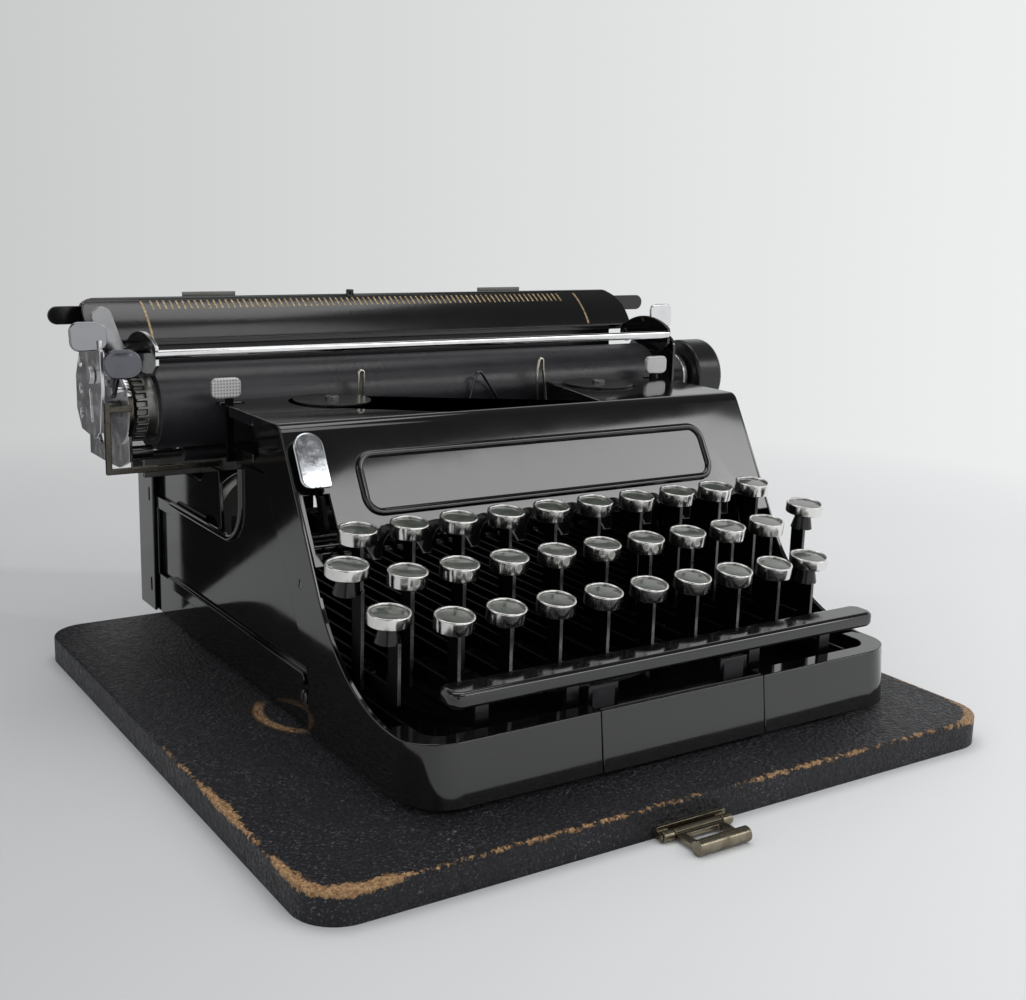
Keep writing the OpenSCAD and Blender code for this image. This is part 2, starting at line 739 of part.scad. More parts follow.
module type_segment() {
    color([0.45, 0.45, 0.44]) place() {
        difference() {
            translate(seg_c) rotate([-tilt, 0, 0]) translate([0, 0, -segment_t / 2]) difference() {
                cylinder(r = segment_r + 2, h = segment_t);
                translate([0, 0, -1]) cylinder(r = 4, h = segment_t + 2);
                translate([-30, 6, -1]) cube([60, 30, segment_t + 2]);
            }
            for (i = [0:typebar_n - 1]) {
                a = -typebar_span / 2 + i * typebar_step;
                at_typebar(a) translate([-typebar_t / 2 - 0.1, -2, -6]) cube([typebar_t + 0.2, 12, 12]);
            }
            // The moving bar's slot runs deeper, so that its heel can turn in it
            at_typebar(0) translate([-typebar_t / 2 - 0.1, -4, -6]) cube([typebar_t + 0.2, 5, 12]);
        }
        at_typebar(0) rod_along_x(-1.4, 1.4, type_pin_r, 0, 0);
        // Foot of the segment on its bar
        difference() {
            block([seg_c[0] - 3, bar_y - 6, bar_z + 8], [seg_c[0] + 3, bar_y + 6, seg_c[2]]);
            translate(seg_c) rotate([-tilt, 0, 0]) translate([0, 0, -segment_t / 2]) cylinder(r = segment_r + 2.5, h = 30);
        }
        block([seg_c[0] - 14, bar_y - 1, bar_z + 8], [seg_c[0] + 14, bar_y + 8, bar_z + 10]);
        // Hairpin wires beside the print point
        for (s = [-1, 1]) {
            translate([s * 42, bar_y + 7, 0]) hairpin(bar_z + 8, platen_z + 13.4);
        }
    }
}

// A wire bent over in a narrow loop, standing from z0 up to z1
module hairpin(z0, z1) {
    gap = 1.5;
    r = 0.55;
    for (s = [-1, 1]) {
        translate([s * gap, 0, z0]) cylinder(r = r, h = z1 - gap - r - z0);
    }
    translate([0, 0, z1 - gap - r]) rotate([90, 0, 0]) rotate_extrude(angle = 180) translate([gap, 0]) circle(r = r);
}

module typebar_shape() {
    w = 1.6;
    difference() {
        union() {
            translate([-typebar_t / 2, -1.2, -w]) cube([typebar_t, typebar_l - 1.8, 2 * w]);
            translate([-1.6, typebar_l - 5.5, -w - 0.6]) cube([3.2, 5.5, 2.6]);
        }
        rod_along_x(-3, 3, type_pin_r + run_gap, 0, 0);
    }
}

module typebars() {
    color([0.35, 0.35, 0.35]) place() {
        for (i = [0:typebar_n - 1]) {
            a = -typebar_span / 2 + i * typebar_step;
            if (abs(a) > 0.1) {
                at_typebar(a) typebar_shape();
            }
        }
    }
}

module typebar_centre() {
    color([0.4, 0.4, 0.4]) place() at_typebar(0) typebar_shape();
}

module ribbon_spool(s) {
    color([0.05, 0.05, 0.05]) place() translate([s * spool_x, spool_y, 85.4]) {
        h = spool_top - 85.4;
        difference() {
            union() {
                cylinder(r = spool_r, h = 1);
                cylinder(r = 6, h = h);
                translate([0, 0, h - 1.2]) cylinder(r = spool_r, h = 1.2);
                cylinder(r = spool_r - 3, h = h - 2);
            }
            translate([0, 0, -1]) cylinder(r = spindle_r + run_gap, h = h + 2);
        }
    }
}

module ribbon_spool_left() {
    ribbon_spool(-1);
}

module ribbon_spool_right() {
    ribbon_spool(1);
}

// The vibrator's two wires lean together and leave the print point open between them
module ribbon_vibrator() {
    color([0.1, 0.1, 0.1]) place() {
        y = print_y - 1.3;
        z1 = platen_z + 9;
        z0 = 79;
        for (s = [-1, 1]) {
            foot = [print_x + s * 9.5, z0];
            tip = [print_x + s * 3.1, z1];
            d = tip - foot;
            translate([foot[0], y, foot[1]]) rotate([0, atan2(d[0], d[1]), 0]) cylinder(r = 0.55, h = norm(d));
        }
        block([print_x - 10.2, y - 0.5, 77], [print_x + 10.2, y + 0.5, 80]);
        block([print_x - 4, bar_y + 8 + pass_gap, bar_z + 1], [print_x + 4, y + 0.5, 80]);
    }
}

module ribbon_reverse() {
    color([0.75, 0.75, 0.73]) place() {
        block([-tab_x + 1, reverse_y, reverse_z], [tab_x - 1, reverse_y + 1.6, reverse_z + 3]);
        mirror_pair() {
            block([-tab_x - 0.2, reverse_y, reverse_z], [-tab_x + 2.6, reverse_y + 1.6, deck_z + 4]);
            translate([-tab_x, reverse_y + 1.6, deck_z + 5.6]) rotate([90, 0, 0]) {
                linear_extrude(height = 1.6) round_rect(10.8, 7.2, 2);
            }
        }
    }
}

module carriage_truck() {
    color([0.3, 0.3, 0.3]) place() {
        x0 = platen_x0 + 4;
        x1 = platen_x1 - 4;
        block([x0, rail_y - 5, truck_z], [x1, rail_y + rail_s + 5, truck_z + 1.5]);
        for (y = [rail_y - 5, rail_y + rail_s + 3.6]) {
            block([x0, y, rail_z + 1], [x1, y + 1.4, truck_z + 1.5]);
        }
        for (x = [-64, 56]) {
            block([x, rail_y + 0.4, rail_z + rail_s + 0.04], [x + 8, rail_y + rail_s - 0.4, truck_z + eps]);
        }
        for (x = guide_xs) {
            translate([x, rail_y + 3, truck_z]) cylinder(r = guide_r, h = 18);
        }
    }
}

// Outline of the lifting frame's end plates; the right one also reaches up beside the bail
module end_outline(tall) {
    difference() {
        union() {
            translate([platen_y, platen_z]) circle(r = disc_r);
            polygon([[frame_rear_y, frame_bar_z], [frame_rear_y, frame_bar_z + 8], [bail_pivot[0] + 3, bail_pivot[1] - 4],
                [bail_pivot[0] + 3, bail_pivot[1] + 3], [bail_pivot[0] - 3, bail_pivot[1] + 3],
                [platen_y - 4, platen_z + disc_r - 1.4], [platen_y - 9.5, platen_z - 8],
                [platen_y - 9.5, platen_z - 18], [feed_c[0] - 2, feed_c[1] - 3.6], [rail_y - 8, frame_bar_z]]);
            if (tall) {
                translate([platen_y - 8, platen_z + 14]) circle(r = 6);
                polygon([[platen_y - 14, platen_z], [platen_y - 14, platen_z + 14], [platen_y + 4, platen_z + 19],
                    [platen_y + 4, platen_z]]);
            }
        }
        translate([rail_y, frame_bar_z + 9]) circle(r = 3);
    }
}

// Lifting frame: cross plate on the truck, end plates, feed rollers and the strap at the left
module platen_frame() {
    color([0.06, 0.06, 0.065]) place() {
        difference() {
            union() {
                block([plate_l_x - plate_t, rail_y - 8, frame_bar_z], [plate_r_x + plate_t, frame_rear_y, frame_bar_z + 3]);
                side_outline(plate_l_x - plate_t, plate_l_x + eps) end_outline(false);
                side_outline(plate_r_x, plate_r_x + plate_t) end_outline(true);
            }
            for (x = guide_xs) {
                translate([x, rail_y + 3, frame_bar_z - 1]) cylinder(r = guide_r + run_gap, h = 8);
            }
            rod_along_x(-160, 160, axle_r + run_gap, platen_y, platen_z);
        }
        // Raised rim of the left end plate
        difference() {
            rod_along_x(plate_l_x - plate_t - 0.6, plate_l_x - plate_t + eps, disc_r, platen_y, platen_z);
            rod_along_x(plate_l_x - plate_t - 1, plate_l_x - plate_t + 1, disc_r - 2.2, platen_y, platen_z);
        }
        // Square strap that hangs down at the left and runs in under the platen
        strap_y = platen_y - 14.4;
        block([strap_x, strap_y, strap_z], [strap_x + 43, strap_y + strap_s, strap_z + strap_s]);
        block([strap_x, strap_y, strap_z], [strap_x + strap_s, strap_y + strap_s, platen_z + 4.4]);
        block([strap_x, strap_y, platen_z + 1], [plate_l_x - plate_t + eps, strap_y + strap_s, platen_z + 1 + strap_s]);
        // Feed rollers on their shaft
        rod_along_x(plate_l_x - eps, plate_r_x + eps, 1.5, feed_c[0], feed_c[1]);
        for (x = [platen_x0 + 14, carriage_x - 16, platen_x1 - 46]) {
            rod_along_x(x, x + 32, feed_r, feed_c[0], feed_c[1]);
        }
        rod_along_x(plate_l_x - eps, platen_x0 - 1, 2.4, platen_y - 6, platen_z - platen_r + 0.3);
        // Pins of the levers and of the bail
        out_x = plate_l_x - plate_t + eps;
        rod_along_x(line_x - 1.4, out_x, line_pin_r, line_pin[0], line_pin[1]);
        rod_along_x(line_x - 2, line_x - 0.3, line_pin_r + 1.2, line_pin[0], line_pin[1]);
        rod_along_x(out_x - 3, out_x, lever_pin_r, release_pin[0], release_pin[1]);
        rod_along_x(out_x - 5.2, out_x, lever_pin_r, ratchet_pin[0], ratchet_pin[1]);
        rod_along_x(plate_l_x - eps, bail_arm_l_x + 1.4, bail_pin_r, bail_pivot[0], bail_pivot[1]);
        rod_along_x(bail_arm_r_x - 1.4, plate_r_x + eps, bail_pin_r, bail_pivot[0], bail_pivot[1]);
        rod_along_x(plate_r_x + plate_t - eps, plate_r_x + plate_t + 7.4, lever_pin_r, paper_pin[0], paper_pin[1]);
    }
}

// Roller with its core, axle, end flanges, line-space ratchet and right collar
module platen() {
    color([0.05, 0.05, 0.05]) place() {
        core_r = platen_r - 3.4;
        ratchet_x0 = plate_l_x + 1.4;
        rod_along_x(platen_x0, platen_x1, platen_r, platen_y, platen_z);
        rod_along_x(plate_l_x - 6, knob_x + 5, axle_r, platen_y, platen_z);
        rod_along_x(platen_x0 - 2.4, platen_x0, core_r, platen_y, platen_z);
        difference() {
            rod_along_x(ratchet_x0, platen_x0 - 2.4, core_r, platen_y, platen_z);
            for (a = [0:15:345]) {
                translate([ratchet_x0 - 1, platen_y, platen_z]) rotate([a, 0, 0]) translate([0, core_r - 1.4, -1]) {
                    cube([4.6, 3, 2]);
                }
            }
        }
        rod_along_x(platen_x1, platen_x1 + 2, core_r, platen_y, platen_z);
        rod_along_x(plate_r_x + plate_t + 8.6, plate_r_x + plate_t + 11, 10.5, platen_y, platen_z);
    }
}

module platen_knob() {
    color([0.03, 0.03, 0.03]) place() difference() {
        union() {
            rod_along_x(knob_x, knob_end_x - 1, knob_r, platen_y, platen_z);
            rod_along_x(knob_end_x - 1 - eps, knob_end_x, knob_r - 1, platen_y, platen_z);
            rod_along_x(knob_x - 3, knob_x + eps, 7, platen_y, platen_z);
        }
        rod_along_x(knob_x - 4, knob_x + 6, axle_r + run_gap, platen_y, platen_z);
        // Ring turned into the inner face
        difference() {
            rod_along_x(knob_x - 1, knob_x + 1.2, knob_r - 3, platen_y, platen_z);
            rod_along_x(knob_x - 2, knob_x + 2, 9, platen_y, platen_z);
        }
        for (a = [0:10:350]) {
            translate([knob_x + 2, platen_y, platen_z]) rotate([a, 0, 0]) translate([0, knob_r, 0]) rotate([0, 90, 0]) {
                cylinder(r = 0.5, h = knob_l - 5);
            }
        }
    }
}

// Pressed line-space lever with its bent thumb tab
module line_space_lever() {
    color([0.8, 0.81, 0.82]) place() {
        t = 1.4;
        side_outline(line_x, line_x + t) difference() {
            union() {
                polygon([for (p = [[-8.5, 9.6], [17, 6.5], [22.5, -3], [22.5, -15], [17, -22], [2, -23.4], [-6, -20], [-9.4, -4]])
                    line_pin + p]);
                strap(line_pin + [13, -17], line_pin + [0, -18.5], 9);
            }
            translate(line_pin) circle(r = line_pin_r + run_gap);
            for (z = [3, -7, -16]) {
                translate(line_pin + [16, z]) circle(r = 2);
            }
            strap(line_pin + [4, -7], line_pin + [3, -16], 3);
        }
        // Thumb tab, bent outward and leaning towards the typist
        translate([line_x + 2.9, line_pin[0] - 4.6, line_pin[1] + 14.2]) rotate([82, 0, 0]) {
            linear_extrude(height = t) translate([-5.8, 0]) round_rect(tab_w, 10.4, 3.4);
        }
        block([line_x, line_pin[0] - 8, line_pin[1] + 8.8], [line_x + t, line_pin[0] + 4, line_pin[1] + 13]);
    }
}

// Strip lever with a dimpled end, which frees the carriage
module carriage_release() {
    color([0.85, 0.86, 0.88]) place() {
        x = plate_l_x - plate_t - 1.7;
        side_outline(x - 0.7, x + 0.7) difference() {
            strap(release_pin, release_pin + [0, 12.5], 5);
            translate(release_pin) circle(r = lever_pin_r + run_gap);
        }
        translate([x, release_pin[0] - 2.3, release_pin[1] + 12.4]) rotate([90, 0, 0]) {
            linear_extrude(height = 1.4) strap([1.2, 0], [-2.8, 11.5], 7.4);
        }
    }
}

module ratchet_release() {
    color([0.35, 0.35, 0.37]) place() {
        x = plate_l_x - plate_t - 4.1;
        side_outline(x - 0.7, x + 0.7) difference() {
            strap(ratchet_pin, ratchet_pin + [-5.5, 8.5], 5);
            translate(ratchet_pin) circle(r = lever_pin_r + run_gap);
        }
        translate([x + 1.6, ratchet_pin[0] - 6.2, ratchet_pin[1] + 10.2]) rotate([78, 0, 0]) linear_extrude(height = 1.4) {
            round_rect(14, 10.4, 5);
        }
    }
}

// Sheet behind the platen: a curved apron above, a lip that follows the platen below
module paper_table() {
    color([0.02, 0.02, 0.025]) place() {
        t = 1.2;
        intersection() {
            union() {
                side_outline(table_x0, table_x1) polygon(concat(
                    [[table_foot[0] - 0.6, table_foot[1] - 1.8]],
                    [for (a = [60:-2:table_lean]) table_c + table_r * [-sin(a), cos(a)]],
                    [for (a = [table_lean:2:60]) table_c + (table_r - t) * [-sin(a), cos(a)]],
                    [[table_foot[0] + t, table_foot[1] - 1.8]]));
                rod_along_x(table_x0, table_x1, table_roll_r, table_roll[0], table_roll[1]);
            }
            translate([(table_x0 + table_x1) / 2, table_roll[0] + 20, table_roll[1] + table_roll_r - 20]) {
                rotate([90, 0, 0]) linear_extrude(height = 80) round_rect(table_l, 40, 7);
            }
        }
        // Lip round the platen, between its ends
        side_outline(platen_x0 + 2, platen_x1 - 2) polygon(concat(
            [for (a = [-38:4:6]) [platen_y, platen_z] + (platen_r + 2.6) * [cos(a), sin(a)]],
            [[table_foot[0] - 0.4, table_foot[1]], [table_foot[0] + t, table_foot[1] - 0.6]],
            [for (a = [6:-4:-38]) [platen_y, platen_z] + (platen_r + 2.6 + t) * [cos(a), sin(a)]]));
        // Ledge with round ends, which shows as an ear at each side
        translate([(ledge_x0 + ledge_x1) / 2, ledge_y + ledge_t, ledge_z]) rotate([90, 0, 0]) {
            linear_extrude(height = ledge_t) round_rect(ledge_x1 - ledge_x0, ledge_h, ledge_h / 2 - 0.01);
        }
        // Brackets down to the lifting frame
        for (x = [table_x0 + 34, carriage_x + 2, table_x1 - 26]) {
            block([x - 4, ledge_y - 1.2, frame_bar_z + 3], [x + 4, ledge_y + eps, table_roll[1]]);
        }
        translate([carriage_x - 13.4, table_roll[0], table_roll[1]]) cylinder(r = 1.6, h = table_roll_r + 1.8);
    }
}

module margin_stop(x) {
    color([0.6, 0.6, 0.58]) place() {
        y0 = ledge_y - pass_gap - 1;
        y1 = ledge_y + ledge_t + pass_gap;
        z0 = ledge_z - ledge_h / 2;
        block([x - 11, y1, z0 - 1], [x + 11, y1 + 1.2, table_top_z + 1.4]);
        block([x - 11, y0, z0 - 2.4], [x + 11, y1 + 1.2, z0 - pass_gap]);
        block([x - 11, y0, z0 - 2.4], [x + 11, y0 + 1, z0 + 2.4]);
    }
}

module margin_stop_left() {
    margin_stop(-80);
}

module margin_stop_right() {
    margin_stop(57);
}

// Flat strip across the front of the platen on two leaf-shaped arms
module paper_bail() {
    color([0.88, 0.89, 0.9]) place() {
        c = [platen_y - 1.5, platen_z - 2];
        r = 30;
        block([bail_arm_l_x - 0.7, bail_y - 0.6, bail_z - bail_h / 2], [bail_arm_r_x + 0.7, bail_y + 0.6, bail_z + bail_h / 2]);
        for (x = [bail_arm_l_x, bail_arm_r_x]) {
            side_outline(x - 0.7, x + 0.7) difference() {
                union() {
                    polygon(concat(
                        arc_points(c, r, 57, 121, 16),
                        [[bail_y - 0.6, bail_z - 4], [bail_y + 4, bail_z - 8], [bail_y + 14, bail_z - 8],
                        [bail_pivot[0] - 4, bail_pivot[1] - 3]]));
                    translate(bail_pivot) circle(r = 4.2);
                }
                translate(bail_pivot) circle(r = bail_pin_r + run_gap);
            }
        }
    }
}

module paper_release() {
    color([0.85, 0.86, 0.88]) place() {
        x = plate_r_x + plate_t + 5.4;
        side_outline(x - 0.7, x + 0.7) difference() {
            strap(paper_pin, paper_pin + [0, 12], 6);
            translate(paper_pin) circle(r = lever_pin_r + run_gap);
        }
        translate([x + 1.6, paper_pin[0] + 0.7, paper_pin[1] + 16.6]) rotate([86, 0, 0]) linear_extrude(height = 1.4) {
            round_rect(12, 10.4, 2.6);
        }
    }
}

module mainspring_drum() {
    color([0.4, 0.4, 0.4]) place() difference() {
        union() {
            rod_along_y(drum_c[1] - 9, drum_c[1] + 3, drum_r - 1.2, drum_c[0], drum_c[2]);
            rod_along_y(drum_c[1] - 9, drum_c[1] - 8, drum_r, drum_c[0], drum_c[2]);
            rod_along_y(drum_c[1] + 2, drum_c[1] + 3, drum_r, drum_c[0], drum_c[2]);
            rod_along_y(drum_c[1] + 3, drum_c[1] + 8, 6, drum_c[0], drum_c[2]);
        }
        rod_along_y(drum_c[1] - 12, drum_c[1] + 12, 3 + run_gap, drum_c[0], drum_c[2]);
        for (a = [45:90:315]) {
            translate([drum_c[0], drum_c[1], drum_c[2]]) rotate([0, a, 0]) rod_along_y(-12, 12, 2.6, 11, 0);
        }
    }
}

// Two knurled tabs on one slide, which let the base go
module base_catches() {
    color([0.35, 0.36, 0.37]) place() {
        y = space_arm_y + 0.4;
        for (s = [-1, 1]) {
            translate([s * 27.5, y + 1.5, 21.8]) rotate([90, 0, 0]) linear_extrude(height = 1.5) {
                round_rect(12, 9.6, 1.6);
            }
            block([s * 27.5 - 3, y, 6], [s * 27.5 + 3, y + 1.5, 18]);
        }
        block([-31, y - 6, 3], [31, y + 1.5, 6]);
    }
}

case_board();
board_hasp();
base_pan();
front_shell();
side_plates();
rear_cover();
main_frame();
key_comb();
space_bar();
shift_caps();
shift_figures();
back_space();
type_segment();
typebars();
typebar_centre();
ribbon_spool_left();
ribbon_spool_right();
ribbon_vibrator();
ribbon_reverse();
carriage_truck();
platen_frame();
platen();
platen_knob();
line_space_lever();
paper_table();
paper_bail();
paper_release();
mainspring_drum();
base_catches();
margin_stop_left();
margin_stop_right();
carriage_release();
ratchet_release();
for (i = [0:row_n[0] - 1]) key(0, i);
for (i = [0:row_n[1] - 1]) key(1, i);
for (i = [0:row_n[2] - 1]) key(2, i);
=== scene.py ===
"""Finishes the portable typewriter: its pieces, their surfaces, the studio and the camera.

Laid out as an add-on. Run as a script, it builds everything in order.
Blender's lengths are in metres. Outlines, sections and places on the machine are in millimetres,
the places in the machine's own frame: x = 0 on its middle plane, y = 0 under the top row of keys
and z = 0 on the case board.
"""
import json
import math

import bmesh
import bpy
from bpy.props import FloatProperty, FloatVectorProperty, IntProperty, PointerProperty
from bpy.types import Operator, Panel, PropertyGroup
from mathutils import Matrix, Vector

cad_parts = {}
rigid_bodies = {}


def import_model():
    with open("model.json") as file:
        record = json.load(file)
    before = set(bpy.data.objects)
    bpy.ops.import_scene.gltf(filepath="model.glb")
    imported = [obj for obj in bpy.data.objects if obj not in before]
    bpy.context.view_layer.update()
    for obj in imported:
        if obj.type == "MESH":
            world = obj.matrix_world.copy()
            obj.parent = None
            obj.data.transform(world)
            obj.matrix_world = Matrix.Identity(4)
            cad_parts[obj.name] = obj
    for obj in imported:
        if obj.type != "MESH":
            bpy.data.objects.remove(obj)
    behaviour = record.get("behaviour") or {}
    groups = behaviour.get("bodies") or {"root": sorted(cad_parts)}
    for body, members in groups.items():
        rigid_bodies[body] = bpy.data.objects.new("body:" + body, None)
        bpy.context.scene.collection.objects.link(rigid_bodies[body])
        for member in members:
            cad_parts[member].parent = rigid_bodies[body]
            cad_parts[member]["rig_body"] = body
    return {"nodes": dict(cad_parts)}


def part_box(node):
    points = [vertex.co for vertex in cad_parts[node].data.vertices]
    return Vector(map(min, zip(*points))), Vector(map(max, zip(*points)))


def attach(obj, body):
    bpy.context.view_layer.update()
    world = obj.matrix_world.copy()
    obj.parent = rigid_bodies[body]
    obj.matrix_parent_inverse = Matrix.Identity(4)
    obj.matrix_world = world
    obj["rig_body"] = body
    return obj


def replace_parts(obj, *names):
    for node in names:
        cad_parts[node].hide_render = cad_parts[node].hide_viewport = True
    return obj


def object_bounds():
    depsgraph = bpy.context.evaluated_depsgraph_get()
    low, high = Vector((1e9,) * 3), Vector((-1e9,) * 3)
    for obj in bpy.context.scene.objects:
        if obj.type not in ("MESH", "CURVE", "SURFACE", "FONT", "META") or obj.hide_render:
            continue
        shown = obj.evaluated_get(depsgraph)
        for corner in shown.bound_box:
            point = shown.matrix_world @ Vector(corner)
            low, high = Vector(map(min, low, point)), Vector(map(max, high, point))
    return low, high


bl_info = {
    "name": "Portable typewriter",
    "version": (1, 0, 0),
    "blender": (4, 5, 0),
    "location": "View3D > Sidebar > Typewriter",
    "description": "Builds the finish of a portable typewriter on its case board",
    "category": "Object",
}

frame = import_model()
cad_low, cad_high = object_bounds()

MM = 0.001
# An edge stays sharp in the shading where its faces meet at more than the first angle, and is
# rounded where they meet at more than the second
SMOOTH_ANGLE = math.radians(35)
ROUND_ANGLE = math.radians(30)
SIDES = (("left", -1), ("right", 1))

# The machine's own frame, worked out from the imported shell, and the board's sides
SKIRT_TO_KEYS = 67.5 * MM
SHELL_LIFT = 1.2 * MM
shell_low, shell_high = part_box("front_shell")
board_low, board_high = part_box("case_board")
middle_x = (shell_low.x + shell_high.x) / 2
key_row_y = shell_low.y + SKIRT_TO_KEYS
board_z = shell_low.z - SHELL_LIFT


def at(x, y, z):
    """A place given in millimetres in the machine's own frame."""
    return Vector((middle_x + x * MM, key_row_y + y * MM, board_z + z * MM))


# Casing: slope of the panel, height of the deck, where the two meet, and half the width
PANEL_SLOPE = math.radians(60)
DECK_Z = 101.0
FOLD_Y = 29.0
HALF_BODY = 100.0
# Height of the middle of the panel's plain field
FIELD_Z = 81.0
# Skirt: foot, top, how far back it reaches, over what length its lean fades, and the lean
SKIRT_FOOT, SKIRT_TOP = 1.2, 21.2
SKIRT_BACK, SKIRT_FADE = -60.0, 5.0
SKIRT_LEAN = 0.13
# Places (y, z) of the screws in each cheek
CHEEK_SCREWS = {"upper": (13.6, 50.7), "lower": (11.0, 11.9)}

# Case board: its front, underside and corner radius, and the ends of the hasp's leaf
BOARD_FRONT = -93.5
BOARD_UNDER = (board_low.z - board_z) / MM
BOARD_CORNER = 14.0
LEAF_LEFT, LEAF_RIGHT = -34.0, -5.0

# Keys: their spacing, and number, place, height and forward tilt in degrees of each row
KEY_PITCH = 19.0
ROWS = {"top": (10, 0.0, 70.5, 6.5), "middle": (9, -22.3, 61.2, 7), "bottom": (8, -40.9, 50.8, 8.5)}
FIRST_KEY_X = -4.5 * KEY_PITCH
# Left and right place and height of each pair of shift keys, and their tilt
SHIFT_KEYS = {
    "shift_caps": ((-93.0, -36.0, 54.0), (FIRST_KEY_X + 26 * KEY_PITCH / 3 + 0.3, -38.7, 51.2)),
    "shift_figures": ((-HALF_BODY + 2, -17.7, 65.0), (HALF_BODY - 3.3, -17.7, 65.0)),
}
SHIFT_TILT = 6
# Radius and height of the rings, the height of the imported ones, and the roll of a ring's rim
RING, SHIFT_RING = (6.6, 4.8), (7.0, 4.0)
PACKED_RING_HEIGHT = 3.7
RING_RISE = 0.5
RING_LIP = 0.45

# Front face of the base catches, the spools' place, and the radius of the spring wires
CATCH_Y = -58.3
SPOOL_X, SPOOL_Y = 61.0, 70.0
WIRE_RADIUS = 0.6 * MM
# Ends of the platen, place (y, z) of the feed rollers, and middle and radius of the table's curve
PLATEN_LEFT, PLATEN_RIGHT = -119.45, 107.05
FEED_Y, FEED_Z = 108.0, 78.6
TABLE_MIDDLE, TABLE_RADIUS = (154.18, 101.5), 36.0
# What is left of a domed plate's outline at each ring of its swell
DOME_RINGS = (0.85, 0.7, 0.55, 0.4, 0.25, 0.1)

# The photograph's viewpoint, worked out from the keys, the board and the skirt
VIEWPOINT = at(-280.4, -387.1, 178.0)
VIEW_TURN = -0.5816
AHEAD = Vector((-math.sin(VIEW_TURN), math.cos(VIEW_TURN), 0))
ACROSS = Vector((math.cos(VIEW_TURN), math.sin(VIEW_TURN), 0))


def panel_y(z):
    """Where the front panel's face stands at a height, in the machine's frame."""
    return FOLD_Y - (DECK_Z - z) / math.tan(PANEL_SLOPE)


class EnamelSettings(PropertyGroup):
    """Black stoving enamel of the casing."""

    colour: FloatVectorProperty(
        name="Colour", description="Colour of the enamel", subtype="COLOR", size=3, min=0, max=1,
        default=(0.004, 0.004, 0.0045))
    roughness: FloatProperty(
        name="Roughness", description="Roughness of the clean enamel", default=0.06, min=0, max=1)
    dust: FloatProperty(
        name="Dust", description="How much dust lies on level faces", default=0.35, min=0, max=1)


class BoardSettings(PropertyGroup):
    """Covering of the case board."""

    colour: FloatVectorProperty(
        name="Colour", description="Colour of the covering", subtype="COLOR", size=3, min=0, max=1,
        default=(0.008, 0.008, 0.011))
    fibre: FloatVectorProperty(
        name="Fibre", description="Colour of the board under the worn edge", subtype="COLOR", size=3,
        min=0, max=1, default=(0.62, 0.39, 0.19))
    wear_width: FloatProperty(
        name="Wear width", description="Width of the worn strip along the top edge", default=1.5 * MM,
        min=0, unit="LENGTH")


class MetalSettings(PropertyGroup):
    """Plated and bare metal of the mechanism."""

    chrome: FloatVectorProperty(
        name="Chrome", description="Colour of the chrome plate", subtype="COLOR", size=3, min=0, max=1,
        default=(0.78, 0.78, 0.79))
    nickel: FloatVectorProperty(
        name="Nickel", description="Colour of the key rings", subtype="COLOR", size=3, min=0, max=1,
        default=(0.84, 0.83, 0.81))
    steel: FloatVectorProperty(
        name="Steel", description="Colour of the oiled steel inside", subtype="COLOR", size=3, min=0,
        max=1, default=(0.2, 0.2, 0.19))
    gilt: FloatVectorProperty(
        name="Gilt", description="Colour of the painted scale lines", subtype="COLOR", size=3, min=0,
        max=1, default=(0.6, 0.47, 0.27))


class PieceSettings(PropertyGroup):
    """Fine sizes of the finished pieces."""

    edge_radius: FloatProperty(
        name="Edge radius", description="Radius of the casing's edges", default=0.45 * MM, min=0,
        unit="LENGTH")
    scale_ticks: IntProperty(
        name="Scale ticks", description="Ticks along the paper table's top edge", default=76, min=2)
    ring_sides: IntProperty(
        name="Ring sides", description="Sides of a key ring", default=56, min=16)


class StageSettings(PropertyGroup):
    """Studio round the machine."""

    dim_side: FloatProperty(
        name="Dim side", description="Shade of the wall at the camera's left", default=0.6, min=0, max=1)
    bright_side: FloatProperty(
        name="Bright side", description="Shade of the wall at the camera's right", default=0.87, min=0,
        max=1)
    ceiling: FloatProperty(
        name="Ceiling", description="Shade of the ceiling in reflections", default=0.1, min=0, max=1)
    soft_light: FloatProperty(
        name="Soft light", description="Brightness of the lamps' faces", default=3.5, min=0)
    room_light: FloatProperty(
        name="Room light", description="Brightness of the light from all round", default=0.62, min=0)


SETTINGS = {
    "typewriter_enamel": EnamelSettings,
    "typewriter_board": BoardSettings,
    "typewriter_metal": MetalSettings,
    "typewriter_pieces": PieceSettings,
    "typewriter_stage": StageSettings,
}


def settings(name):
    """The scene's settings of one kind."""
    return getattr(bpy.context.scene, "typewriter_" + name)


# Shader node groups


